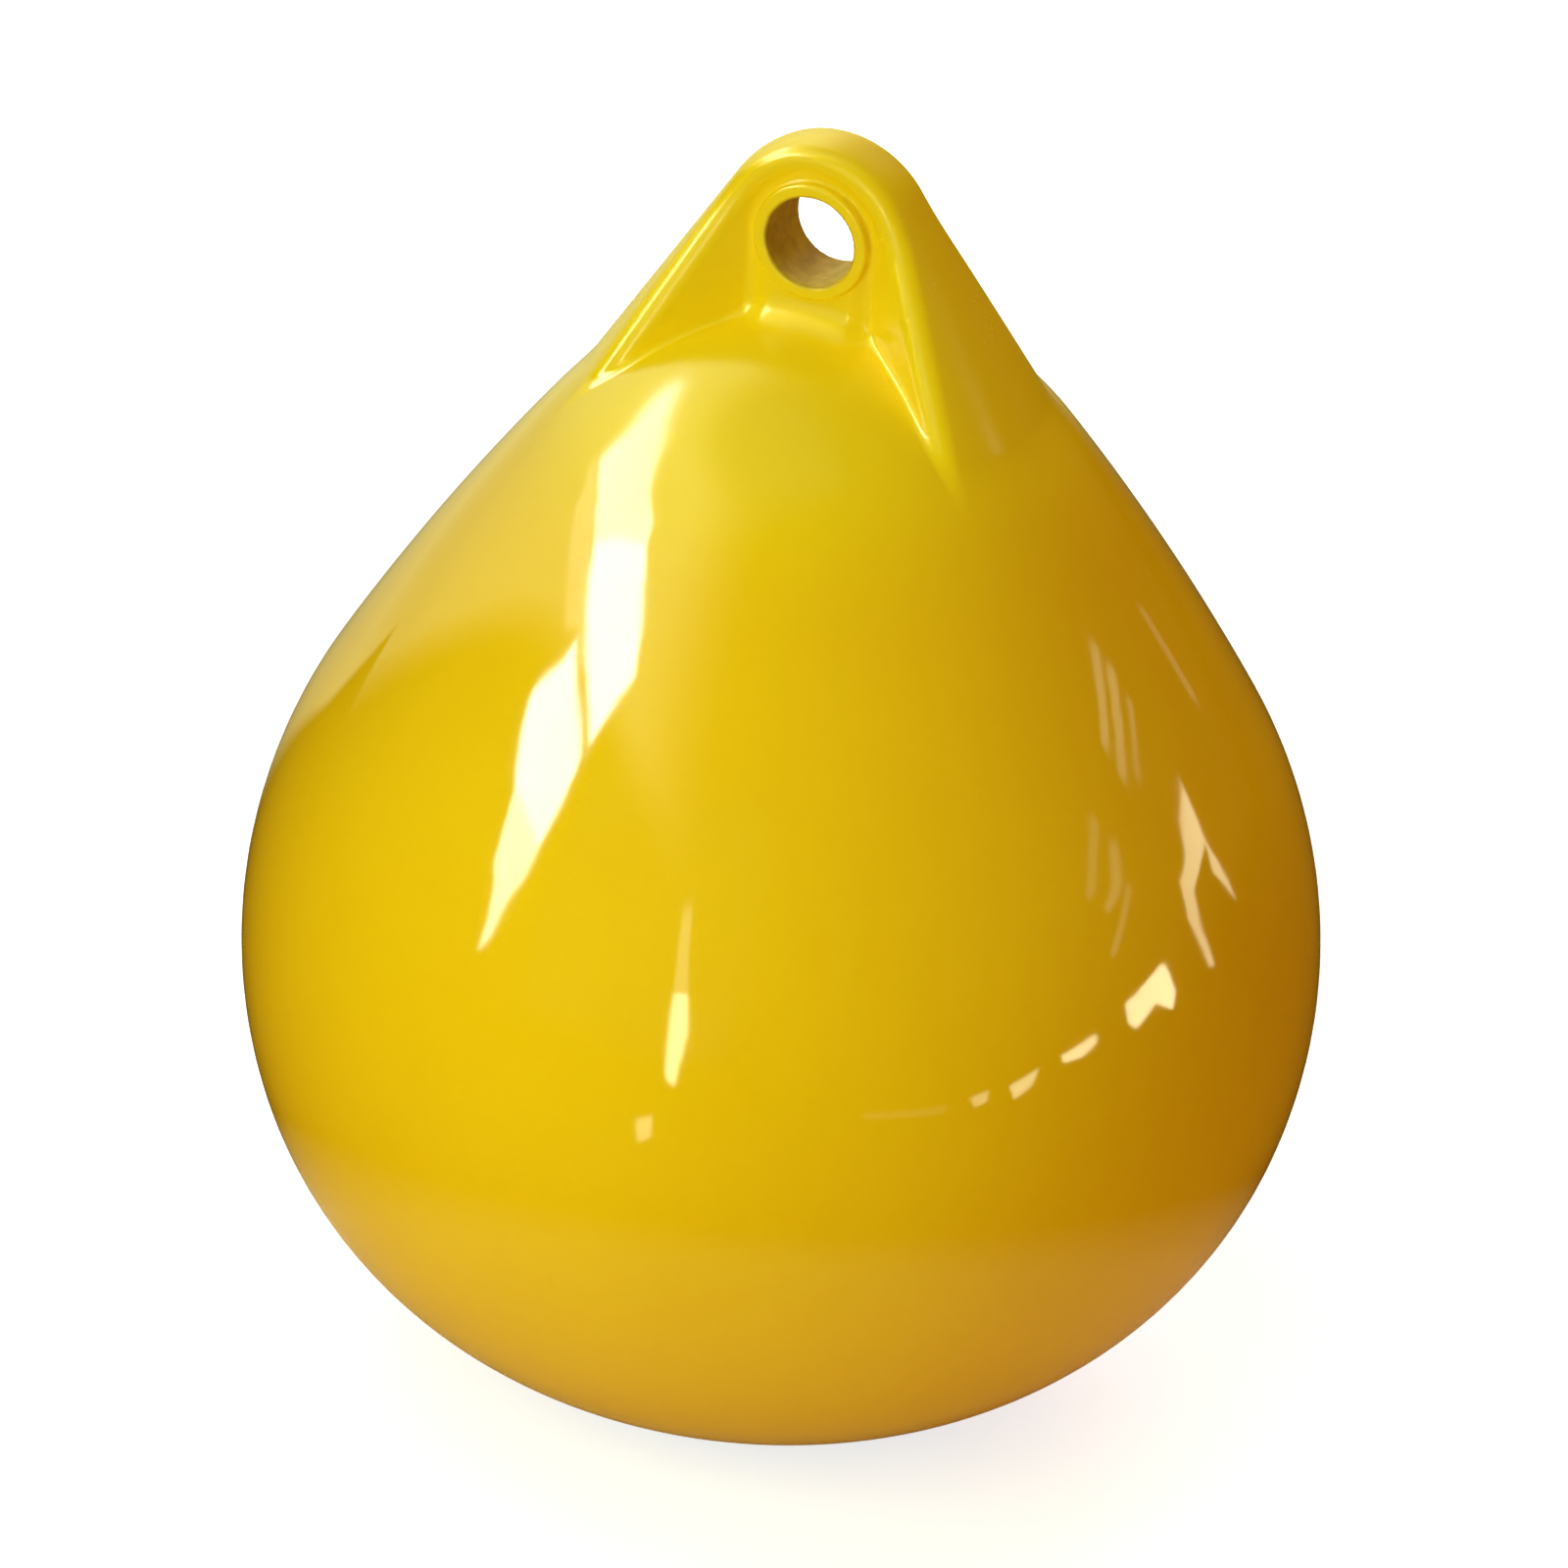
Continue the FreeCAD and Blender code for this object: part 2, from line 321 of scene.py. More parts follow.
@dataclass
class RopeEye:
    """Eye moulded on the crown: a domed cone with an arched recess in front and behind."""

    meridian: Meridian
    tip_radius: float = 27.7 * MM
    tip_drop: float = 2.6 * MM
    crease_share: float = 0.891
    web_thickness: float = 8.6 * MM
    recess_half_width: float = 13.0 * MM
    recess_wall_angle: float = 38.9
    rib_edge_fillet: float = 6.0 * MM
    column_root: float = 7.0 * MM
    crease_root: float = 1.6 * MM
    column_reach: Range = (9.0 * MM, 24.0 * MM)
    groove_fillet: float = 4.5 * MM
    bore_radius: float = 11.8 * MM
    boss_thickness: float = 18.0 * MM
    boss_step: float = 0.6 * MM
    lip_width: float = 3.4 * MM
    lip_height: float = 1.2 * MM
    lip_fillet: float = 0.7 * MM
    boss_edge_fillet: float = 4.2 * MM
    foot: float = -85 * MM
    lip_foot_fillet: float = 0.7 * MM

    def __post_init__(self) -> None:
        """Finds the cone's slant from where it lands on the crown."""
        crown = self.meridian.crown[0]
        rim = crown.point(crown.start)[0]
        radius = self.crease_share * rim
        height = crown.centre[1] + math.sqrt(crown.radius**2 - radius**2)
        drop = -self.tip_drop - height
        lean = math.asin(self.tip_radius / math.hypot(radius, drop))
        self.half_angle = math.atan2(radius, drop) - lean

    def neck(self, points: Points) -> Points:
        """Signed distance to the domed cone before it is recessed.

        Args:
            points: Array of points, three numbers each.

        Returns:
            Signed distances, negative inside.
        """
        rho = np.hypot(points[..., 0], points[..., 1])
        up = points[..., 2] + self.tip_drop
        side = rho * math.cos(self.half_angle) + up * math.sin(self.half_angle)
        along = up * math.cos(self.half_angle) - rho * math.sin(self.half_angle)
        reach = np.where(along > 0, np.hypot(rho, up), side)
        return reach - self.tip_radius + self.meridian.skin_inset

    def arch_width(self, points: Points) -> Points:
        """Distance from the bore's axis above it, and from the mid plane below it."""
        x, z = np.abs(points[..., 0]), points[..., 2]
        return np.where(z > 0, np.hypot(x, z), x)

    def recess(self, points: Points) -> Points:
        """Signed distance to the two flared recesses, negative inside them.

        Args:
            points: Array of points, three numbers each.

        Returns:
            Signed distances, negative inside.
        """
        slope = math.radians(self.recess_wall_angle)
        depth = np.abs(points[..., 1]) - self.web_thickness / 2
        wide = self.recess_half_width + depth / math.tan(slope)
        return np.maximum((self.arch_width(points) - wide) * math.sin(slope), -depth)

    def boss(self, points: Points) -> Points:
        """Signed distance to the boss and its column.

        Args:
            points: Array of points, three numbers each.

        Returns:
            Signed distances, negative inside.
        """
        radius = self.bore_radius + self.lip_width - self.boss_step
        along = np.abs(points[..., 1]) - self.boss_thickness / 2
        return rounded_rim(self.arch_width(points) - radius, along, self.boss_edge_fillet)

    def lip(self, points: Points) -> Points:
        """Signed distance to the rounded ring that stands proud of the boss.

        Args:
            points: Array of points, three numbers each.

        Returns:
            Signed distances, negative inside.
        """
        middle = self.bore_radius + self.lip_width / 2
        across = np.abs(np.hypot(points[..., 0], points[..., 2]) - middle) - self.lip_width / 2
        along = np.abs(points[..., 1]) - (self.boss_thickness / 2 + self.lip_height)
        return rounded_rim(across, along, self.lip_fillet)

    def bore(self, points: Points) -> Points:
        """Signed distance to the bore, negative inside it."""
        return np.hypot(points[..., 0], points[..., 2]) - self.bore_radius

    def with_shell(self, points: Points) -> Points:
        """Signed distance to the shell and the eye together.

        Args:
            points: Array of points, three numbers each.

        Returns:
            Signed distances, negative inside.
        """
        below = self.foot - points[..., 2]
        eye = round_cut(self.neck(points), self.recess(points), self.rib_edge_fillet)
        eye = round_join(eye, self.boss(points), self.groove_fillet)
        start, end = self.column_reach
        near = np.clip((end - np.abs(points[..., 0])) / (end - start), 0, 1)
        eased = near * near * (3 - 2 * near)
        root = self.crease_root + (self.column_root - self.crease_root) * eased
        joined = round_join(self.meridian.distance(points), np.maximum(eye, below), root)
        joined = round_join(joined, self.lip(points), self.lip_foot_fillet)
        return np.maximum(joined, -self.bore(points))


# ---------------------------------------------------------------- meshes


@dataclass
class Skin:
    """Vertices and faces of one skin while it is put together."""

    points: list[Points] = field(default_factory=list)
    faces: Faces = field(default_factory=list)
    count: int = 0

    def add(self, points: Points, faces: Faces | Points) -> int:
        """Adds vertices and faces.

        Args:
            points: New vertices.
            faces: Faces that count from the first new vertex.

        Returns:
            The number that the first new vertex gets.
        """
        base = self.count
        self.points.append(np.asarray(points, float))
        self.faces += [tuple(base + int(i) for i in face) for face in faces]
        self.count += len(points)
        return base

    def array(self) -> Points:
        """All vertices as one array."""
        return np.concatenate(self.points)


def band(first: int, second: int, count: int) -> Faces:
    """Faces between two rings of vertices, each given by the number of its first one."""
    turns = [(k, (k + 1) % count) for k in range(count)]
    return [(first + k, first + m, second + m, second + k) for k, m in turns]


def slope_of(form: Form, points: Points) -> Points:
    """Gradient of a form at some points.

    Args:
        form: Function that gives signed distances.
        points: Array of points.

    Returns:
        The gradient, three numbers for each point.
    """
    slopes = np.zeros_like(points)
    for axis in range(3):
        shift = np.zeros(3)
        shift[axis] = SLOPE_STEP
        slopes[:, axis] = (form(points + shift) - form(points - shift)) / (2 * SLOPE_STEP)
    return slopes


def settle(form: Form, points: Points, rounds: int) -> Points:
    """Moves points onto the surface of a form.

    Args:
        form: Function that gives signed distances.
        points: Points near the surface.
        rounds: How often each point is moved.

    Returns:
        The points on the surface.
    """
    for _ in range(rounds):
        slopes = slope_of(form, points)
        size = np.maximum((slopes**2).sum(1), LEAST_SLOPE)
        points = points - slopes * (form(points) / size)[:, None]
    return points


def without_saddles(values: Points) -> Points:
    """Flips the faintest corner of each grid face whose corners alternate in sign.

    Args:
        values: Signed distances at the grid's nodes.

    Returns:
        The values, with which no edge of the net is shared by four faces.
    """
    values = values.copy()
    for _ in range(SADDLE_ROUNDS):
        changed = 0
        for pair in ((0, 1), (1, 2), (0, 2)):
            steps = np.zeros((4, 3), int)
            steps[1:3, pair[0]] = 1
            steps[2:4, pair[1]] = 1
            ends = np.array(values.shape) - steps.max(0)
            parts = [tuple(slice(a, a + n) for a, n in zip(step, ends)) for step in steps]
            inside = [values[part] < 0 for part in parts]
            mixed = (inside[0] == inside[2]) & (inside[1] == inside[3]) & (inside[0] != inside[1])
            for cell in np.argwhere(mixed):
                nodes = [tuple(cell + step) for step in steps]
                faint = min(nodes, key=lambda node: abs(values[node]))
                values[faint] = -math.copysign(TINY, values[faint])
                changed += 1
        if not changed:
            break
    return values


def surface_net(nodes: Points, values: Points) -> tuple[Points, Points, Points]:
    """Meshes the zero surface of a form sampled on a grid, with one vertex in each crossed cell.

    Args:
        nodes: Places of the grid's nodes, three numbers each.
        values: Signed distances at the nodes, negative inside.

    Returns:
        The vertices, the four-cornered faces, and the vertex number of each cell, or -1.
    """
    shape = tuple(n - 1 for n in values.shape)
    total, hits = np.zeros((*shape, 3)), np.zeros(shape)
    inside = values < 0
    quads = []
    for axis in range(3):
        lower, upper = [slice(None)] * 3, [slice(None)] * 3
        lower[axis], upper[axis] = slice(None, -1), slice(1, None)
        lower, upper = tuple(lower), tuple(upper)
        crossing = inside[lower] != inside[upper]
        where = np.argwhere(crossing)
        low, high = values[lower][crossing], values[upper][crossing]
        share = (low / (low - high))[:, None]
        spots = nodes[lower][crossing] * (1 - share) + nodes[upper][crossing] * share
        others = [k for k in range(3) if k != axis]
        corners = []
        for shifts in ((-1, -1), (0, -1), (0, 0), (-1, 0)):
            cell = where.copy()
            cell[:, others] += shifts
            held = ((cell >= 0) & (cell < shape)).all(1)
            index = tuple(cell[held].T)
            np.add.at(total, index, spots[held])
            np.add.at(hits, index, 1)
            corners.append(cell)
        corners = np.stack(corners, 1)
        whole = ((corners >= 0) & (corners < shape)).all((1, 2))
        corners = corners[whole]
        outward = inside[lower][crossing][whole]
        if axis == 1:
            outward = ~outward
        corners[~outward] = corners[~outward][:, ::-1]
        quads.append(corners)
    used = hits > 0
    number = np.full(shape, -1)
    number[used] = np.arange(used.sum())
    cells = np.concatenate(quads)
    faces = number[cells[..., 0], cells[..., 1], cells[..., 2]]
    return total[used] / hits[used][:, None], faces, number


def relaxed(points: Points, faces: Points) -> Points:
    """Moves each vertex half of the way to the middle of its neighbours.

    Args:
        points: The vertices.
        faces: The four-cornered faces.

    Returns:
        The moved vertices.
    """
    pairs = np.concatenate([faces[:, [k, (k + 1) % 4]] for k in range(4)])
    pairs = np.unique(np.sort(pairs, 1), axis=0)
    total, hits = np.zeros_like(points), np.zeros(len(points))
    for a, b in ((0, 1), (1, 0)):
        np.add.at(total, pairs[:, a], points[pairs[:, b]])
        np.add.at(hits, pairs[:, a], 1)
    return points * 0.5 + total / hits[:, None] * 0.5


def evened(
    form: Form,
    points: Points,
    faces: Points,
    rounds: int,
    held: Points | slice = slice(0),
    spots: Points | float = 0.0,
) -> Points:
    """Spreads the vertices of a net evenly over the surface of its form.

    Args:
        form: Function that gives signed distances.
        points: The vertices.
        faces: The four-cornered faces.
        rounds: How often the vertices are settled and spread.
        held: Numbers of the vertices that stay where they are put.
        spots: Their places.

    Returns:
        The vertices on the surface.
    """
    for _ in range(rounds):
        points = relaxed(settle(form, points, COARSE_SETTLING), faces)
        points[held] = spots
    points = settle(form, points, FINE_SETTLING)
    points[held] = spots
    return points


@dataclass
class EyePatch:
    """Skin of the crown and the eye, meshed on a square grid that is bent to a disc."""

    eye: RopeEye
    reach: float = 92 * MM
    fine_reach: float = 36 * MM
    fine_step: float = 0.8 * MM
    coarse_step: float = 2.6 * MM
    step_growth: float = 1.06
    top: float = 26.3 * MM
    fine_floor: float = -34.3 * MM
    coarse_floor_step: float = 1.3 * MM
    spare_depth: float = 6 * MM
    rounds: int = 4

    def radial_marks(self) -> Points:
        """Distances from the axis of the grid's square rings: fine at the eye, coarser outwards.

        Returns:
            The distances, from the axis outwards.
        """
        marks, step = [0.0], self.fine_step
        while marks[-1] < self.reach:
            if marks[-1] > self.fine_reach:
                step = min(self.coarse_step, step * self.step_growth)
            marks.append(marks[-1] + step)
        return np.array(marks)

    def heights(self) -> Points:
        """Heights of the grid's layers.

        Returns:
            The heights, from the lowest up.
        """
        low = self.eye.meridian.at_radius(self.reach)[0] - self.spare_depth
        fine = np.arange(self.top, self.fine_floor, -self.fine_step)
        coarse = np.arange(self.fine_floor, low, -self.coarse_floor_step)
        return np.concatenate([fine, coarse])[::-1]

    def grid(self) -> Points:
        """Nodes of the bent grid, with square rings laid on circles.

        Returns:
            The nodes, three numbers each, by column, row and layer.
        """
        marks = self.radial_marks()
        index = np.arange(-len(marks) + 1, len(marks))
        u, v = np.meshgrid(index, index, indexing="ij")
        ring = np.maximum(np.abs(u), np.abs(v))
        safe = np.maximum(ring, 1)
        across = np.abs(u) >= np.abs(v)
        turn = np.where(across, v / safe, u / safe) * math.pi / 4
        radius = marks[ring]
        x = np.where(across, np.sign(u) * np.cos(turn), np.sin(turn)) * radius
        y = np.where(across, np.sin(turn), np.sign(v) * np.cos(turn)) * radius
        z = self.heights()
        nodes = np.empty((*x.shape, len(z), 3))
        nodes[..., 0], nodes[..., 1], nodes[..., 2] = x[..., None], y[..., None], z
        return nodes

    @staticmethod
    def rim(number: Points) -> Points:
        """Numbers of the outermost vertices, anticlockwise from the corner at minus 45 degrees.

        Args:
            number: Vertex number of each cell, or -1.

        Returns:
            The numbers in order.
        """
        last = number.shape[0] - 1
        walk = [(last, k) for k in range(last)]
        walk += [(last - k, last) for k in range(last)]
        walk += [(0, last - k) for k in range(last)]
        walk += [(k, 0) for k in range(last)]
        return np.array([number[i, j][number[i, j] >= 0][0] for i, j in walk])

    def build(self) -> tuple[Points, Points, Points, float]:
        """Makes the patch, with its rim on an exact circle.

        Returns:
            The vertices, the faces, the rim's vertices in order, and the rim's radius.
        """
        form, nodes = self.eye.with_shell, self.grid()
        points, faces, number = surface_net(nodes, without_saddles(form(nodes)))
        rim = self.rim(number)
        radius = float(np.hypot(points[rim, 0], points[rim, 1]).mean())
        height = self.eye.meridian.at_radius(radius)[0]
        angles = -math.pi / 4 + FULL_TURN * np.arange(len(rim)) / len(rim)
        circle = [radius * np.cos(angles), radius * np.sin(angles), np.full(len(rim), height)]
        circle = np.stack(circle, 1)
        points[rim] = circle
        return evened(form, points, faces, self.rounds, rim, circle), faces, rim, radius


def new_object(name: str, mesh: bpy.types.Mesh) -> bpy.types.Object:
    """Links a mesh to the scene as an object at the origin.

    Args:
        name: Name of the object.
        mesh: Its mesh.

    Returns:
        The object.
    """
    made = bpy.data.objects.new(name, mesh)
    bpy.context.scene.collection.objects.link(made)
    return made


def mesh_of(name: str, points: Points, faces: Faces) -> bpy.types.Mesh:
    """Mesh with the given vertices and faces.

    Args:
        name: Name of the mesh.
        points: Its vertices.
        faces: Its faces.

    Returns:
        The mesh.
    """
    mesh = bpy.data.meshes.new(name)
    mesh.from_pydata([tuple(p) for p in points], [], faces)
    mesh.update()
    return mesh


def rows_of(
    items: bpy.types.bpy_prop_collection, name: str, width: int = 3, kind: type = float
) -> Points:
    """Reads a property of a mesh's elements, one row for each element.

    Args:
        items: The mesh's vertices, edges or normals.
        name: Name of the property.
        width: How many numbers it has.
        kind: Their type.

    Returns:
        The rows.
    """
    flat = np.zeros(len(items) * width, kind)
    items.foreach_get(name, flat)
    return flat.reshape(-1, width)


def dressed(
    mesh: bpy.types.Mesh, name: str, material: bpy.types.Material, normals: Points
) -> bpy.types.Object:
    """Gives a mesh its material, smooth shading and exact normals, and links it.

    Args:
        mesh: The mesh.
        name: Name of the object.
        material: Its material.
        normals: Vertex normals.

    Returns:
        The object.
    """
    mesh.name = name
    mesh.materials.clear()
    mesh.materials.append(material)
    mesh.shade_smooth()
    mesh.normals_split_custom_set_from_vertices([tuple(n) for n in normals])
    return new_object(name, mesh)


def trusted(slopes: Points, plain: Points, least: float = 0.0, agreement: float = 0.6) -> Points:
    """Unit normals from a form's gradient, or a mesh's own where the two don't agree.

    Args:
        slopes: Gradients of the form at the vertices.
        plain: The mesh's own normals.
        least: Shortest gradient that is used.
        agreement: Least cosine between the two.

    Returns:
        The normals.
    """
    size = np.linalg.norm(slopes, axis=1)
    poor = (size < least) | ((slopes * plain).sum(1) <= agreement * size)
    exact = slopes / np.maximum(size, TINY)[:, None]
    exact[poor] = plain[poor]
    return exact


# ---------------------------------------------------------------- nodes


class Wiring:
    """Short ways to add nodes to a tree and feed them."""

    def __init__(self, tree: bpy.types.NodeTree) -> None:
        """Keeps the tree that nodes are added to."""
        self.tree = tree

    def feed(self, target: Socket, value: object) -> None:
        """Links a socket to an input, or sets the input to a number, a vector or a colour.

        Args:
            target: The input.
            value: A socket or a value.
        """
        if isinstance(value, Socket):
            self.tree.links.new(value, target)
        else:
            target.default_value = (*value, 1.0) if target.type == "RGBA" else value

    def node(
        self, kind: str, feeds: dict[str | int, object] | None = None, **settings: object
    ) -> bpy.types.Node:
        """Adds a node.

        Args:
            kind: The node's type.
            feeds: Sockets or values for its inputs, by their name or number.
            settings: Its properties.

        Returns:
            The node.
        """
        made = self.tree.nodes.new(kind)
        for name, value in settings.items():
            setattr(made, name, value)
        for key, value in (feeds or {}).items():
            self.feed(made.inputs[key], value)
        return made

    def math(self, operation: str, *values: object) -> Socket:
        """Adds a math node fed by sockets or numbers, in order."""
        return self.node("ShaderNodeMath", dict(enumerate(values)), operation=operation).outputs[0]

    def fold(self, operation: str, first: object, *others: object) -> Socket:
        """Adds math nodes that take in one more value each.

        Args:
            operation: Blender's name of the operation.
            first: Socket or number that it starts from.
            others: Sockets or numbers that are taken in, in order.

        Returns:
            The last node's output.
        """
        for other in others:
            first = self.math(operation, first, other)
        return first

    def weighted(self, *parts: tuple[Socket, float]) -> Socket:
        """Sum of values, each times its weight."""
        return self.fold("ADD", *(self.math("MULTIPLY", value, weight) for value, weight in parts))

    def vector(self, operation: str, *values: object) -> Socket:
        """Adds a vector math node and gives its vector, or its number where it makes one."""
        made = self.node("ShaderNodeVectorMath", dict(enumerate(values)), operation=operation)
        return made.outputs["Value" if operation in ("LENGTH", "DOT_PRODUCT") else "Vector"]

    def parts(self, vector: Socket) -> Sockets:
        """X, Y and Z of a vector."""
        return self.node("ShaderNodeSeparateXYZ", {0: vector}).outputs

    def noise(self, vector: Socket, scale: Socket, detail: float, rough: float = 0.55) -> Socket:
        """Adds a noise of the given scale, in features for each metre."""
        feeds = {"Vector": vector, "Scale": scale, "Detail": detail, "Roughness": rough}
        return self.node("ShaderNodeTexNoise", feeds).outputs["Fac"]

    def ranged(
        self, value: Socket, source: Range, target: Range = (0.0, 1.0), smooth: bool = False
    ) -> Socket:
        """Maps a value from one range to another, held at its ends.

        Args:
            value: The value.
            source: Its range, as numbers or sockets.
            target: The range that it is mapped to, as numbers or sockets.
            smooth: True to ease in and out.

        Returns:
            The mapped value.
        """
        names = ("From Min", "From Max", "To Min", "To Max")
        feeds = {"Value": value, **dict(zip(names, (*source, *target)))}
        kind = "SMOOTHSTEP" if smooth else "LINEAR"
        return self.node("ShaderNodeMapRange", feeds, interpolation_type=kind).outputs["Result"]

    def mixed(self, share: Socket, first: Socket | Colour, second: Socket | Colour) -> Socket:
        """Mixes two colours by a socket's value."""
        feeds = {"Factor": share, 6: first, 7: second}
        return self.node("ShaderNodeMix", feeds, data_type="RGBA").outputs[2]


def shading(owner: bpy.types.Material | bpy.types.World, output: str) -> tuple[Wiring, Socket]:
    """Empties a shader tree and gives it an output.

    Args:
        owner: The material or the world that has the tree.
        output: Type of the output node.

    Returns:
        The tree's wiring and the output's surface.
    """
    owner.use_nodes = True
    owner.node_tree.nodes.clear()
    wire = Wiring(owner.node_tree)
    return wire, wire.node(output).inputs["Surface"]


def labelled(sizes: object) -> dict[str, float]:
    """Numbers of a dataclass by the names of their node inputs, such as Crest Radius.

    Args:
        sizes: The dataclass.

    Returns:
        The numbers by their inputs' names.
    """
    values = {part.name: getattr(sizes, part.name) for part in fields(sizes)}
    plain = {name: value for name, value in values.items() if isinstance(value, (int, float))}
    return {name.replace("_", " ").title(): value for name, value in plain.items()}


def named_inputs(tree: bpy.types.NodeTree, values: dict[str, object]) -> dict[str, object]:
    """Adds a named input to a node group for each of some values.

    Args:
        tree: The group.
        values: Whole numbers, sizes and materials, by the names of their inputs.

    Returns:
        The values, by the identifiers of their sockets.
    """
    kinds = (
        (int, "NodeSocketInt"),
        (float, "NodeSocketFloat"),
        (bpy.types.Material, "NodeSocketMaterial"),
    )
    found = {}
    for name, value in values.items():
        kind = next(kind for base, kind in kinds if isinstance(value, base))
        socket = tree.interface.new_socket(name=name, in_out="INPUT", socket_type=kind)
        socket.default_value = value
        found[socket.identifier] = value
    return found


class Lathe:
    """Geometry Nodes that bend a grid round the Z axis: Rows along it and Columns round it."""

    def __init__(self, name: str, sizes: dict[str, object]) -> None:
        """Starts the group.

        Args:
            name: Name of the group.
            sizes: Its inputs by name: Rows, Columns, First Angle, Material and the piece's own.
        """
        self.tree = bpy.data.node_groups.new(name, "GeometryNodeTree")
        ends = {"name": "Geometry", "socket_type": "NodeSocketGeometry"}
        self.tree.interface.new_socket(in_out="INPUT", **ends)
        self.values = named_inputs(self.tree, sizes)
        self.tree.interface.new_socket(in_out="OUTPUT", **ends)
        self.wire = Wiring(self.tree)
        self.size = self.wire.node("NodeGroupInput").outputs
        columns = self.wire.math("ADD", self.size["Columns"], 1.0)
        corners = {"Vertices X": self.size["Rows"], "Vertices Y": columns}
        grid = self.wire.node("GeometryNodeMeshGrid", {"Size X": 1.0, "Size Y": 1.0, **corners})
        self.grid = grid.outputs["Mesh"]
        spot = self.wire.parts(self.wire.node("GeometryNodeInputPosition").outputs[0])
        self.down = self.wire.math("ADD", spot["X"], 0.5)
        self.turn = self.wire.math("ADD", spot["Y"], 0.5)

    def finish(self, radius: Socket, height: Socket) -> None:
        """Lays the rows on circles, closes the seam and the poles, and sets the material.

        Args:
            radius: Distance from the axis.
            height: Height on the axis.
        """
        wire = self.wire
        swept = wire.math("MULTIPLY", self.turn, FULL_TURN)
        angle = wire.math("ADD", swept, self.size["First Angle"])
        x = wire.math("MULTIPLY", radius, wire.math("COSINE", angle))
        y = wire.math("MULTIPLY", radius, wire.math("SINE", angle))
        spot = wire.node("ShaderNodeCombineXYZ", {"X": x, "Y": y, "Z": height}).outputs[0]
        made = self.grid
        for kind, feeds in (
            ("GeometryNodeSetPosition", {"Position": spot}),
            ("GeometryNodeMergeByDistance", {"Distance": MERGE_DISTANCE}),
            ("GeometryNodeRealizeInstances", {}),
            ("GeometryNodeSetMaterial", {"Material": self.size["Material"]}),
        ):
            made = wire.node(kind, {"Geometry": made, **feeds}).outputs["Geometry"]
        wire.node("NodeGroupOutput", {"Geometry": made})

    def baked(self) -> tuple[Points, Faces]:
        """Sets the inputs by their identifiers, runs the group once and removes it.

        Returns:
            The vertices and the faces.
        """
        name = self.tree.name
        holder = new_object(name, bpy.data.meshes.new(name))
        modifier = holder.modifiers.new(name, "NODES")
        modifier.node_group = self.tree
        for identifier, value in self.values.items():
            modifier[identifier] = value
        graph = bpy.context.evaluated_depsgraph_get()
        mesh = bpy.data.meshes.new_from_object(holder.evaluated_get(graph), depsgraph=graph)
        holder.modifiers.clear()
        points = rows_of(mesh.vertices, "co")
        faces = [tuple(face.vertices) for face in mesh.polygons]
        bpy.data.objects.remove(holder)
        bpy.data.meshes.remove(mesh)
        return points, faces


# ---------------------------------------------------------------- fender


ARC_PARTS = ("Radius", "Start", "Sweep", "Centre X", "Centre Y")


@dataclass
class ShellTurner:
    """Shell below the eye's patch: the meridian's arcs, sampled and turned by Geometry Nodes."""

    meridian: Meridian
    top_radius: float
    segments: int
    rings: int = 118
    arc_points: int = 160
    first_angle: float = -math.pi / 4

    def arcs(self) -> list[Arc]:
        """Arcs of the meridian from the patch's rim down to the keel.

        Returns:
            The arcs, from the rim down.
        """
        found = []
        for arc in self.meridian.crown:
            if arc.point(arc.start)[0] > self.top_radius:
                edge = min(arc.angle_at(self.top_radius), arc.finish)
                found.append(Arc(arc.centre, arc.radius, edge, arc.start))
        return found + self.meridian.keel

    def build(self, material: bpy.types.Material) -> tuple[Points, Faces]:
        """Bakes the turned mesh.

        Args:
            material: Material set on the mesh.

        Returns:
            The vertices and the faces.
        """
        arcs = self.arcs()
        sizes = {
            "Rows": self.rings,
            "Columns": self.segments,
            "First Angle": self.first_angle,
            "Material": material,
            "Arc Points": self.arc_points,
        }
        for number, arc in enumerate(arcs):
            values = (arc.radius, arc.start, arc.finish - arc.start, *map(float, arc.centre))
            sizes |= {f"Arc {number} {part}": value for part, value in zip(ARC_PARTS, values)}
        lathe = Lathe("turned_shell", sizes)
        wire, size = lathe.wire, lathe.size
        profile = wire.node("GeometryNodeJoinGeometry")
        for number in reversed(range(len(arcs))):
            radius, start, sweep, x, y = (size[f"Arc {number} {part}"] for part in ARC_PARTS)
            turn = {"Radius": radius, "Start Angle": start, "Sweep Angle": sweep}
            turn["Resolution"] = size["Arc Points"]
            curve = wire.node("GeometryNodeCurveArc", turn, mode="RADIUS").outputs["Curve"]
            centre = wire.node("ShaderNodeCombineXYZ", {"X": x, "Y": y}).outputs[0]
            placed = wire.node("GeometryNodeTransform", {"Geometry": curve, "Translation": centre})
            wire.feed(profile.inputs["Geometry"], placed.outputs["Geometry"])
        feeds = {"Curves": profile.outputs["Geometry"], "Factor": lathe.down}
        sample = wire.node("GeometryNodeSampleCurve", feeds, mode="FACTOR", use_all_curves=True)
        spot = wire.parts(sample.outputs["Position"])
        lathe.finish(spot["X"], spot["Y"])
        return lathe.baked()


@dataclass(frozen=True)
class ValvePlace:
    """Where the valve sits: its axis is square to the shell on the rear shoulder."""

    offset: float = 72.0 * MM

    def matrix(self, meridian: Meridian) -> Matrix:
        """Matrix from the valve's frame, Z outwards, to the fender's.

        Args:
            meridian: The shell's outline, without inset.

        Returns:
            The matrix.
        """
        height, slant = meridian.at_radius(self.offset)
        across = Vector((1, 0, 0))
        out = Vector((0, math.cos(slant), math.sin(slant)))
        columns = Matrix((across, out.cross(across), out)).transposed().to_4x4()
        return Matrix.Translation((0, self.offset, height)) @ columns


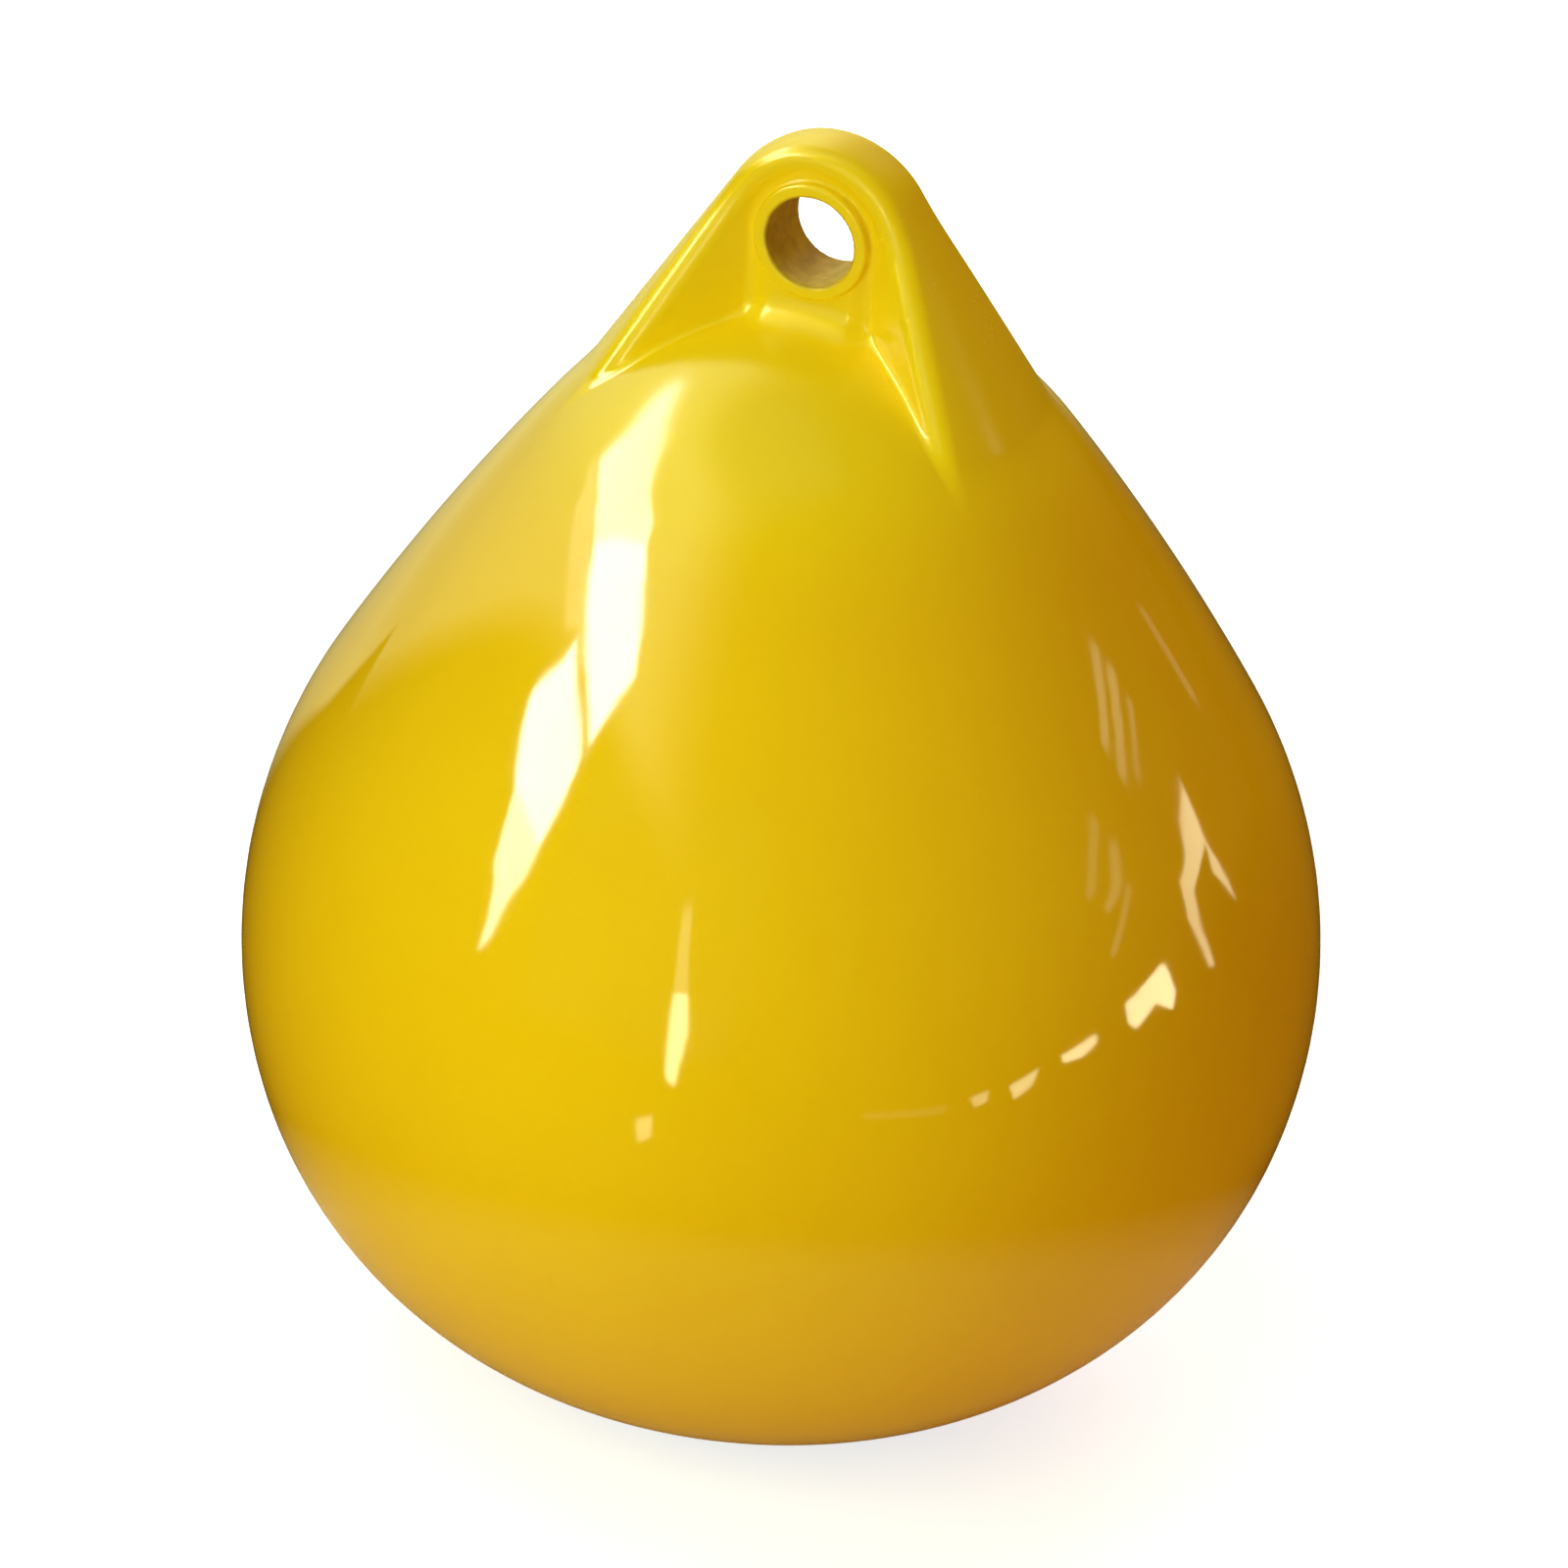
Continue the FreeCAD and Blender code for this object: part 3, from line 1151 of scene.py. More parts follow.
def moved(matrix: Matrix, points: Points, turn_only: bool = False) -> Points:
    """Points, or directions, carried by a matrix.

    Args:
        matrix: The matrix.
        points: Array of three numbers each.
        turn_only: True for directions.

    Returns:
        The carried array.
    """
    whole = np.array(matrix)
    carried = points @ whole[:3, :3].T
    return carried if turn_only else carried + whole[:3, 3]


@dataclass
class ValveSeat:
    """Pad on the shell round the valve, with the recess and port that the insert fills."""

    radius: float = 15 * MM
    height: float = 1.6 * MM
    rim_fillet: float = 0.8 * MM
    foot_fillet: float = 0.9 * MM
    reach: float = 18 * MM
    clearing: float = 20.5 * MM
    flange_radius: float = 11.15 * MM
    flange_floor: float = -0.2 * MM
    port_radius: float = 7.62 * MM
    port_depth: float = -11 * MM
    cavity_radius: float = 10 * MM
    cavity_depth: float = -17.5 * MM
    floor_radius: float = 0.5 * MM
    segments: int = 96
    apron_rings: int = 5
    apron_step: float = 0.45 * MM
    foot_degrees: tuple[float, ...] = (15, 32, 50, 70, 88)
    rim_steps: int = 6
    flat_width: float = 0.5 * MM
    edge_fillet: float = 0.25 * MM
    edge_steps: int = 4

    def pad(self, local: Points) -> Points:
        """Signed distance to the pad in the valve's frame.

        Args:
            local: Array of points in the valve's frame.

        Returns:
            Signed distances, negative inside.
        """
        across = np.hypot(local[..., 0], local[..., 1]) - self.radius
        disc = rounded_rim(across, local[..., 2] - self.height, self.rim_fillet)
        return np.maximum(disc, self.port_depth - local[..., 2])

    def rings(self) -> tuple[list[tuple[float, float, bool]], int]:
        """Rings of the seat from its foot inwards.

        Returns:
            Radius, height and whether the height counts from the shell, for each ring; and how many
            of the rings are moved onto the form.
        """
        r, top, rim, foot = self.radius, self.height, self.rim_fillet, self.foot_fillet
        rings = [(self.reach - k * self.apron_step, 0.0, True) for k in range(self.apron_rings)]
        for turn in map(math.radians, self.foot_degrees):
            rings.append((r + foot * (1 - math.sin(turn)), foot * (1 - math.cos(turn)), True))
        for k in range(self.rim_steps + 1):
            turn = math.pi / 2 * k / self.rim_steps
            rings.append((r - rim + rim * math.cos(turn), top - rim + rim * math.sin(turn), False))
        rings.append((self.flange_radius + self.flat_width, top, False))
        moving, edge = len(rings), self.edge_fillet
        for k in range(self.edge_steps + 1):
            turn = math.pi / 2 * k / self.edge_steps
            across, down = edge * (1 - math.sin(turn)), edge * (1 - math.cos(turn))
            rings.append((self.flange_radius + across, top - down, False))
        for radius, height in (
            (self.flange_radius, self.flange_floor),
            (self.port_radius, self.flange_floor),
            (self.port_radius, self.port_depth),
            (self.cavity_radius, self.port_depth),
            (self.cavity_radius, self.cavity_depth),
            (self.floor_radius, self.cavity_depth),
        ):
            rings.append((radius, height, False))
        return rings, moving


@dataclass
class FenderSkin:
    """Outer skin of the moulding: shell, eye and valve seat in one closed mesh."""

    eye: RopeEye
    seat: ValveSeat
    place: Matrix
    strip: float = 2.4 * MM
    ratio: int = 4
    ring_slack: float = 0.01 * MM
    ring_floor: float = -150 * MM
    seam_slack: float = 1e-4
    valve_side: float = -50 * MM
    valve_depth: float = 20 * MM
    flange_spare: float = 0.4 * MM
    settle_rounds: int = 12
    least_slope: float = 0.5
    least_agreement: float = 0.8

    def form(self, points: Points) -> Points:
        """Signed distance to the shell with its eye and valve seat."""
        pad = self.seat.pad(moved(self.place.inverted(), points))
        return round_join(self.eye.with_shell(points), pad, self.seat.foot_fillet)

    def from_axis(self, points: Points) -> tuple[Points, Points]:
        """Distances of points from the valve's axis, and their heights along it."""
        local = moved(self.place.inverted(), points)
        return np.hypot(local[:, 0], local[:, 1]), local[:, 2]

    def sewn(self, material: bpy.types.Material) -> Skin:
        """Joins the eye's patch to the turned shell with a strip of triangles.

        Args:
            material: Material of the turned shell.

        Returns:
            The skin, still without the valve's seat.
        """
        skin = Skin()
        points, faces, rim, radius = EyePatch(self.eye).build()
        base = skin.add(points, faces)
        coarse = len(rim) // self.ratio
        turner = ShellTurner(self.eye.meridian, radius + self.strip, coarse)
        shell, shell_faces = turner.build(material)
        low = skin.add(shell, shell_faces)
        off_ring = np.abs(np.hypot(shell[:, 0], shell[:, 1]) - turner.top_radius)
        on_top = np.flatnonzero((off_ring < self.ring_slack) & (shell[:, 2] > self.ring_floor))
        angle = np.arctan2(shell[on_top, 1], shell[on_top, 0]) - turner.first_angle
        ring = on_top[np.argsort((angle + self.seam_slack) % FULL_TURN)]
        if len(ring) != coarse:
            raise ValueError(f"the shell's top ring has {len(ring)} vertices, not {coarse}")
        half = self.ratio // 2
        for j in range(coarse):
            a, b = low + int(ring[j]), low + int(ring[(j + 1) % coarse])
            fine = [base + int(rim[(self.ratio * j + k) % len(rim)]) for k in range(self.ratio + 1)]
            skin.faces += [(a, fine[k + 1], fine[k]) for k in range(half)]
            skin.faces.append((a, b, fine[half]))
            skin.faces += [(b, fine[k + 1], fine[k]) for k in range(half, self.ratio)]
        return skin

    def seat_rings(self) -> Points:
        """Vertices of the seat, ring by ring from its foot inwards, in the fender's frame.

        Returns:
            The vertices, as many in each ring.
        """
        rings, moving = self.seat.rings()
        n = self.seat.segments
        c, s = unit_circle(n)
        foot = np.stack([self.seat.radius * c, self.seat.radius * s, np.zeros(n)], 1)
        foot = settle(self.eye.meridian.distance, moved(self.place, foot), self.settle_rounds)
        ground = moved(self.place.inverted(), foot)[:, 2]
        flat = [np.stack([r * c, r * s, h + ground * on_shell], 1) for r, h, on_shell in rings]
        points = moved(self.place, np.concatenate(flat))
        points[: moving * n] = settle(self.form, points[: moving * n], self.settle_rounds)
        return points

    def build(self, material: bpy.types.Material) -> bpy.types.Object:
        """Makes the skin.

        Args:
            material: Its material.

        Returns:
            The object, with exact normals.
        """
        skin, rings = self.sewn(material), self.seat_rings()
        points = skin.array()
        mesh = bmesh.new()
        verts = [mesh.verts.new(p) for p in points]
        out, up = self.from_axis(points)
        keep = (out > self.seat.clearing) | (up < self.valve_side)
        for face in skin.faces:
            if keep[list(face)].all():
                mesh.faces.new([verts[i] for i in face])
        for vert in [v for v in mesh.verts if not v.link_faces]:
            mesh.verts.remove(vert)
        hole = [edge for edge in mesh.edges if edge.is_boundary]
        n = self.seat.segments
        new = [mesh.verts.new(p) for p in rings]
        for start in range(0, len(new) - n, n):
            for face in band(start, start + n, n):
                mesh.faces.new([new[i] for i in face])
        mesh.faces.new(new[-n:])
        foot = [mesh.edges.get((new[k], new[(k + 1) % n])) for k in range(n)]
        axis = self.place.col[2].to_3d()
        bmesh.ops.triangle_fill(
            mesh, edges=hole + foot, use_beauty=True, normal=axis, use_dissolve=False
        )
        open_edges = [edge for edge in mesh.edges if len(edge.link_faces) != 2]
        if open_edges:
            raise ValueError(f"the skin has {len(open_edges)} open edges")
        bmesh.ops.recalc_face_normals(mesh, faces=mesh.faces[:])
        data = bpy.data.meshes.new("fender_skin")
        mesh.to_mesh(data)
        mesh.free()
        return dressed(data, "fender_skin", material, self.normals(data))

    def normals(self, data: bpy.types.Mesh) -> Points:
        """Exact normals of the skin's vertices, but the mesh's own in the port.

        Args:
            data: The skin's mesh.

        Returns:
            A normal for each vertex.
        """
        points = rows_of(data.vertices, "co")
        plain = rows_of(data.vertex_normals, "vector")
        exact = trusted(slope_of(self.form, points), plain, self.least_slope)
        out, up = self.from_axis(points)
        port = (out < self.seat.flange_radius + self.flange_spare) & (np.abs(up) < self.valve_depth)
        exact[port] = plain[port]
        first, second = rows_of(data.edges, "vertices", 2, int).T
        around = np.zeros_like(exact)
        np.add.at(around, first, exact[second])
        np.add.at(around, second, exact[first])
        around /= np.maximum(np.linalg.norm(around, axis=1), TINY)[:, None]
        stray = ~port & ((exact * around).sum(1) < self.least_agreement)
        exact[stray] = around[stray]
        return exact


# ---------------------------------------------------------------- valve


@dataclass(frozen=True)
class Corner:
    """Corner of a turned profile, in millimetres, with the radius that it is rounded to."""

    r: float
    h: float
    fillet: float


@dataclass
class Turned:
    """Ring turned round the valve's axis from a closed profile with rounded corners."""

    corners: list[Corner]
    segments: int = 96
    steps: int = 6

    def profile(self) -> tuple[Points, Points]:
        """Points of the profile and its outward normals.

        Returns:
            Radius and height of each point, and the normal at each, both in order.
        """
        spots = [np.array([c.r, c.h]) * MM for c in self.corners]
        points, normals = [], []
        for i, corner in enumerate(self.corners):
            here, fillet = spots[i], corner.fillet * MM
            before, after = spots[i - 1] - here, spots[(i + 1) % len(spots)] - here
            a, b = before / np.linalg.norm(before), after / np.linalg.norm(after)
            half = math.acos(float(np.clip(a @ b, -1, 1))) / 2
            reach = fillet / math.tan(half)
            middle = here + (a + b) / np.linalg.norm(a + b) * fillet / math.sin(half)
            first, last = here + a * reach - middle, here + b * reach - middle
            sweep = math.atan2(first[0] * last[1] - first[1] * last[0], first @ last)
            sign = 1 if np.array([-a[1], a[0]]) @ first > 0 else -1
            for step in range(self.steps + 1):
                turn = sweep * step / self.steps
                c, s = math.cos(turn), math.sin(turn)
                arm = np.array([first[0] * c - first[1] * s, first[0] * s + first[1] * c])
                points.append(middle + arm)
                normals.append(sign * arm / fillet)
        return np.array(points), np.array(normals)

    def build(self) -> tuple[Points, Faces, Points]:
        """Turns the profile.

        Returns:
            The vertices, the faces and the vertex normals, about the Z axis.
        """
        line, slopes = self.profile()
        rows, n = len(line), self.segments
        c, s = unit_circle(n)

        def spun(flat: Points) -> Points:
            """Rows of radius and height, turned round the axis."""
            x, y, z = flat[:, :1] * c, flat[:, :1] * s, np.repeat(flat[:, 1:], n, 1)
            return np.stack([x, y, z], 2).reshape(-1, 3)

        faces = [face for i in range(rows) for face in band(i * n, (i + 1) % rows * n, n)]
        return spun(line), faces, spun(slopes)


@dataclass
class ThreadedShank:
    """Screw thread turned by Geometry Nodes: its radius follows height and angle by rule."""

    root_radius: float = 4.05 * MM
    crest_radius: float = 4.53 * MM
    pitch: float = 1.5 * MM
    length: float = 11.3 * MM
    tip_taper: float = 0.9 * MM
    neck: float = 1.1 * MM
    run_out: float = 1.6
    flank_start: float = 0.18
    flank_end: float = 0.82
    first_angle: float = 0.0
    rows: int = 150
    columns: int = 72

    def build(self, material: bpy.types.Material) -> tuple[Points, Faces]:
        """Bakes the shank about the Z axis, with its top at zero.

        Args:
            material: Material set on the mesh.

        Returns:
            The vertices and the faces.
        """
        lathe = Lathe("threaded_shank", {**labelled(self), "Material": material})
        wire, size, share = lathe.wire, lathe.size, lathe.down
        length, root, crest = size["Length"], size["Root Radius"], size["Crest Radius"]
        deep = wire.math("MULTIPLY", share, length)
        turns = wire.math("ADD", wire.math("DIVIDE", deep, size["Pitch"]), lathe.turn)
        phase = wire.math("MULTIPLY", wire.math("FRACT", turns), 2.0)
        ridge = wire.math("ABSOLUTE", wire.math("SUBTRACT", phase, 1.0))
        flank = wire.ranged(ridge, (size["Flank Start"], size["Flank End"]), smooth=True)
        cut_in = (size["Neck"], wire.math("MULTIPLY", size["Neck"], size["Run Out"]))
        raised = wire.math("MULTIPLY", flank, wire.ranged(deep, cut_in, smooth=True))
        height = wire.math("MULTIPLY", wire.math("SUBTRACT", crest, root), raised)
        tip = wire.math("SUBTRACT", crest, size["Tip Taper"])
        cone = wire.math("ADD", wire.math("SUBTRACT", length, deep), tip)
        radius = wire.math("MINIMUM", wire.math("ADD", height, root), cone)
        inside = wire.math("MULTIPLY", share, wire.math("SUBTRACT", 1.0, share))
        radius = wire.math("MULTIPLY", radius, wire.math("GREATER_THAN", inside, POLE_SLACK))
        lathe.finish(radius, wire.math("MULTIPLY", deep, -1.0))
        return lathe.baked()


@dataclass
class Valve:
    """Air valve, in millimetres: a flanged insert, its sealing ring and a slotted screw plug."""

    place: Matrix
    seat_top: float = 1.6
    flange_radius: float = 11.0
    flange_floor: float = -0.2
    barrel_radius: float = 7.6
    barrel_bottom: float = -11.0
    lip_radius: float = 8.5
    lip_bottom: float = -13.4
    thread_radius: float = 4.6
    pocket_radius: float = 6.8
    pocket_floor: float = 0.4
    seal_inner: float = 4.7
    seal_outer: float = 6.7
    seal_top: float = 2.0
    head_radius: float = 8.6
    head_top: float = 4.8
    head_fillet: float = 0.5
    slot_width: float = 1.8
    slot_depth: float = 1.5
    slot_fillet: float = 0.15
    slot_floor_fillet: float = 0.3
    shank_overlap: float = 0.3
    grid_step: float = 0.2
    grid_margin: float = 0.5
    grid_foot: float = 0.43
    grid_shift: tuple[float, float] = (0.013, 0.017)
    rounds: int = 3

    def turned(
        self, name: str, corners: list[Corner], material: bpy.types.Material
    ) -> bpy.types.Object:
        """Makes one turned piece on the valve's axis.

        Args:
            name: Name of the piece.
            corners: Its profile, anticlockwise with radius to the right and height up.
            material: Its material.

        Returns:
            The object.
        """
        points, faces, normals = Turned(corners).build()
        mesh = mesh_of(name, moved(self.place, points), faces)
        return dressed(mesh, name, material, moved(self.place, normals, turn_only=True))

    def insert(self, material: bpy.types.Material) -> bpy.types.Object:
        """Flanged bush, with a pocket for the ring and a lip behind the wall.

        Args:
            material: Its material.

        Returns:
            The object.
        """
        corners = [
            Corner(self.thread_radius, self.lip_bottom, 0.2),
            Corner(self.barrel_radius, self.lip_bottom, 0.3),
            Corner(self.lip_radius, self.barrel_bottom, 0.2),
            Corner(self.barrel_radius, self.barrel_bottom, 0.05),
            Corner(self.barrel_radius, self.flange_floor, 0.05),
            Corner(self.flange_radius, self.flange_floor, 0.1),
            Corner(self.flange_radius, self.seat_top, 0.3),
            Corner(self.pocket_radius, self.seat_top, 0.2),
            Corner(self.pocket_radius, self.pocket_floor, 0.1),
            Corner(self.thread_radius, self.pocket_floor, 0.25),
        ]
        return self.turned("valve_insert_skin", corners, material)

    def seal(self, material: bpy.types.Material) -> bpy.types.Object:
        """Moulded rubber ring with rounded rims.

        Args:
            material: Its material.

        Returns:
            The object.
        """
        corners = [
            Corner(self.seal_inner, self.pocket_floor, 0.3),
            Corner(self.seal_outer, self.pocket_floor, 0.45),
            Corner(self.seal_outer, self.seal_top, 0.45),
            Corner(self.seal_inner, self.seal_top, 0.3),
        ]
        return self.turned("valve_seal_skin", corners, material)

    def head_form(self, points: Points) -> Points:
        """Signed distance to the plug's head: a disc with a rounded rim and a coin slot.

        Args:
            points: Array of points in the valve's frame, in metres.

        Returns:
            Signed distances, negative inside.
        """
        middle = (self.head_top + self.seal_top) / 2 * MM
        half = (self.head_top - self.seal_top) / 2 * MM
        across = np.hypot(points[..., 0], points[..., 1]) - self.head_radius * MM
        along = np.abs(points[..., 2] - middle) - half
        disc = rounded_rim(across, along, self.head_fillet * MM)
        gap = np.abs(points[..., 1]) - self.slot_width / 2 * MM
        ground = points[..., 2] - (self.head_top - self.slot_depth) * MM
        slot = round_cut(gap, ground, self.slot_floor_fillet * MM)
        return round_cut(disc, slot, self.slot_fillet * MM)

    def head(self) -> tuple[Points, Points]:
        """Meshes the plug's head on a grid that is set off so that no node falls on a face.

        Returns:
            The vertices and the faces.
        """
        reach = self.head_radius + self.grid_margin
        flat = np.arange(-reach, reach + TINY, self.grid_step)
        x, y = (flat + shift for shift in self.grid_shift)
        top = self.head_top + self.grid_margin
        z = np.arange(self.seal_top - self.grid_foot, top, self.grid_step)
        nodes = np.stack(np.meshgrid(x, y, z, indexing="ij"), -1) * MM
        points, faces, _ = surface_net(nodes, without_saddles(self.head_form(nodes)))
        return evened(self.head_form, points, faces, self.rounds), faces

    def plug(self, material: bpy.types.Material) -> bpy.types.Object:
        """Screw plug: a slotted head on a threaded shank.

        Args:
            material: Its material.

        Returns:
            The object.
        """
        name, skin = "valve_plug_skin", Skin()
        head, faces = self.head()
        skin.add(head, faces)
        shank, faces = ThreadedShank().build(material)
        skin.add(shank + np.array([0, 0, (self.seal_top + self.shank_overlap) * MM]), faces)
        mesh = mesh_of(name, moved(self.place, skin.array()), skin.faces)
        work = bmesh.new()
        work.from_mesh(mesh)
        bmesh.ops.recalc_face_normals(work, faces=work.faces[:])
        work.to_mesh(mesh)
        work.free()
        normals = rows_of(mesh.vertex_normals, "vector")
        slopes = moved(self.place, slope_of(self.head_form, head), turn_only=True)
        normals[: len(head)] = trusted(slopes, normals[: len(head)])
        return dressed(mesh, name, material, normals)


# ---------------------------------------------------------------- finishes


def effect_group(
    effect: Effect, sizes: object, outputs: tuple[str, ...]
) -> tuple[Wiring, Sockets, Sockets]:
    """Starts a shader group that takes object coordinates and an effect's own sizes.

    Args:
        effect: The effect that it makes.
        sizes: Dataclass whose numbers become named inputs.
        outputs: Names of the values that it puts out.

    Returns:
        The wiring, what the group takes in and what it puts out, both by name.
    """
    tree = bpy.data.node_groups.new(effect.value, "ShaderNodeTree")
    tree.interface.new_socket(name="Vector", in_out="INPUT", socket_type="NodeSocketVector")
    named_inputs(tree, labelled(sizes))
    for name in outputs:
        tree.interface.new_socket(name=name, in_out="OUTPUT", socket_type="NodeSocketFloat")
    wire = Wiring(tree)
    return wire, wire.node("NodeGroupInput").outputs, wire.node("NodeGroupOutput").inputs


@dataclass(frozen=True)
class MouldedTone:
    """Glossy moulding: cloudy pigment, uneven polish and orange peel, duller where ropes rub;
    painted top light and painted bore shade.
    """

    cloud_scale: float = 16.0
    fleck_scale: float = 420.0
    polish_scale: float = 38.0
    scuff_scale: float = 900.0
    rubbed_scale: float = 260.0
    peel_scale: float = 170.0
    ripple_scale: float = 24.0
    fine_scale: float = 1500.0
    least_roughness: float = 0.035
    most_roughness: float = 0.07
    scuff_roughness: float = 0.02
    handled_roughness: float = 0.2
    rubbed_roughness: float = 0.3
    tone_weights: tuple[float, float] = (0.8, 0.2)
    height_weights: tuple[float, float, float] = (0.5, 4.0, 0.03)
    polish_band: Range = (0.35, 0.7)
    patch_band: Range = (0.3, 0.6)
    patch_depth: Range = (0.65, 1.0)
    handled_heights: Range = (-58 * MM, -22 * MM)
    painted_top_light_heights: Range = (-75 * MM, -34 * MM)
    bore_shade_and_wear_radii: Range = (12.0 * MM, 12.7 * MM)

    def build(self) -> bpy.types.NodeTree:
        """Builds the group.

        Returns:
            The group.
        """
        outputs = ("Tone", "Roughness", "Height", "Rubbed", "Solid")
        wire, given, put = effect_group(Effect.MOULDED, self, outputs)
        vector = given["Vector"]
        cloud = wire.noise(vector, given["Cloud Scale"], detail=4.0)
        fleck = wire.noise(vector, given["Fleck Scale"], detail=2.0)
        tone = wire.weighted(*zip((cloud, fleck), self.tone_weights))
        wire.feed(put["Tone"], wire.ranged(tone, NOISE_BAND))
        z = wire.parts(vector)["Z"]
        # Painted light: the top of the fender, the eye and crown, gets a lighter, more lemon tone,
        # as if lit from above.
        wire.feed(put["Solid"], wire.ranged(z, self.painted_top_light_heights, smooth=True))
        # Bore wall mask in rope-wear patches: it darkens the colour there as painted shade, and it
        # makes the surface rougher where ropes rub.
        reach = wire.vector("LENGTH", wire.vector("MULTIPLY", vector, (1.0, 0.0, 1.0)))
        in_bore = wire.ranged(reach, self.bore_shade_and_wear_radii, (1.0, 0.0))
        patches = wire.noise(vector, given["Rubbed Scale"], detail=3.0)
        patches = wire.ranged(patches, self.patch_band, self.patch_depth)
        rubbed = wire.math("MULTIPLY", in_bore, patches)
        wire.feed(put["Rubbed"], rubbed)
        polish = wire.noise(vector, given["Polish Scale"], detail=5.0, rough=0.6)
        polished = (given["Least Roughness"], given["Most Roughness"])
        scuff = wire.noise(vector, given["Scuff Scale"], detail=2.0)
        rough = wire.fold(
            "ADD",
            wire.ranged(polish, self.polish_band, polished),
            wire.math("MULTIPLY", scuff, given["Scuff Roughness"]),
            wire.math("MULTIPLY", rubbed, given["Rubbed Roughness"]),
            wire.ranged(z, self.handled_heights, (0.0, given["Handled Roughness"])),
        )
        wire.feed(put["Roughness"], rough)
        peel = wire.noise(vector, given["Peel Scale"], detail=2.0, rough=0.4)
        ripple = wire.noise(vector, given["Ripple Scale"], detail=1.0)
        fine = wire.noise(vector, given["Fine Scale"], detail=2.0)
        height = wire.weighted(*zip((peel, ripple, fine), self.height_weights))
        wire.feed(put["Height"], height)
        return wire.tree


@dataclass(frozen=True)
class FineGrain:
    """Satin moulding: a fine spark-eroded grain with a little handling shine."""

    cloud_scale: float = 180.0
    grain_scale: float = 3200.0
    least_roughness: float = 0.32
    most_roughness: float = 0.5
    satin_band: Range = (0.3, 0.75)

    def build(self) -> bpy.types.NodeTree:
        """Builds the group.

        Returns:
            The group.
        """
        wire, given, put = effect_group(Effect.GRAIN, self, ("Tone", "Roughness", "Height"))
        cloud = wire.noise(given["Vector"], given["Cloud Scale"], detail=3.0)
        grain = wire.noise(given["Vector"], given["Grain Scale"], detail=2.0, rough=0.6)
        satin = (given["Least Roughness"], given["Most Roughness"])
        wire.feed(put["Tone"], wire.ranged(cloud, NOISE_BAND))
        wire.feed(put["Roughness"], wire.ranged(cloud, self.satin_band, satin))
        wire.feed(put["Height"], grain)
        return wire.tree


@dataclass(frozen=True)
class Finish:
    """Finish of one material: its pigment tones, its painted light and shade tones, and what its
    surface does.
    """

    slot: Slot
    effect: Effect
    light_tone: Colour
    deep_tone: Colour
    bump: float
    # Painted light laid over the top of the fender: a lighter, more lemon tone.
    painted_top_light_tone: Colour | None = None
    # Painted shade inside the bore: a darker amber tone.
    bore_shade_tone: Colour | None = None
    ior: float = 1.5

    def build(self, groups: dict[Effect, bpy.types.NodeTree]) -> bpy.types.Material:
        """Makes the material.

        Args:
            groups: The shared node groups.

        Returns:
            The material.
        """
        made = bpy.data.materials.new(self.slot.value)
        wire, surface = shading(made, "ShaderNodeOutputMaterial")
        place = wire.node("ShaderNodeTexCoord").outputs["Object"]
        effect = wire.node("ShaderNodeGroup", node_tree=groups[self.effect])
        wire.feed(effect.inputs["Vector"], place)
        values = effect.outputs
        colour = wire.mixed(values["Tone"], self.deep_tone, self.light_tone)
        # Painted light and shade laid over the pigment: a lighter top, and shade inside the bore.
        for mask, tone in (("Solid", self.painted_top_light_tone), ("Rubbed", self.bore_shade_tone)):
            if tone:
                colour = wire.mixed(values[mask], colour, tone)
        relief = {"Strength": 1.0, "Distance": self.bump, "Height": values["Height"]}
        feeds = {
            "Base Color": colour,
            "Roughness": values["Roughness"],
            "IOR": self.ior,
            "Normal": wire.node("ShaderNodeBump", relief).outputs["Normal"],
        }
        wire.feed(surface, wire.node("ShaderNodeBsdfPrincipled", feeds).outputs[0])
        return made


FINISHES = (
    Finish(
        Slot.FENDER_PVC,
        Effect.MOULDED,
        light_tone=(0.93, 0.60, 0.006),
        deep_tone=(0.90, 0.56, 0.004),
        bump=0.02 * MM,
        # Painted light: a lighter, more lemon tone over the top, the eye and crown.
        painted_top_light_tone=(0.95, 0.69, 0.006),
        # Painted shade: darker amber over the bore wall, broken into patches.
        bore_shade_tone=(0.52, 0.34, 0.012),
    ),
    Finish(
        Slot.VALVE_PLASTIC,
        Effect.GRAIN,
        light_tone=(0.045, 0.045, 0.048),
        deep_tone=(0.03, 0.03, 0.032),
        bump=0.02 * MM,
    ),
    Finish(
        Slot.SEAL_RUBBER,
        Effect.GRAIN,
        light_tone=(0.028, 0.027, 0.026),
        deep_tone=(0.018, 0.018, 0.018),
        bump=0.03 * MM,
    ),
    Finish(
        Slot.PLUG_PLASTIC,
        Effect.GRAIN,
        light_tone=(0.040, 0.040, 0.043),
        deep_tone=(0.026, 0.026, 0.028),
        bump=0.02 * MM,
    ),
)


# ---------------------------------------------------------------- studio


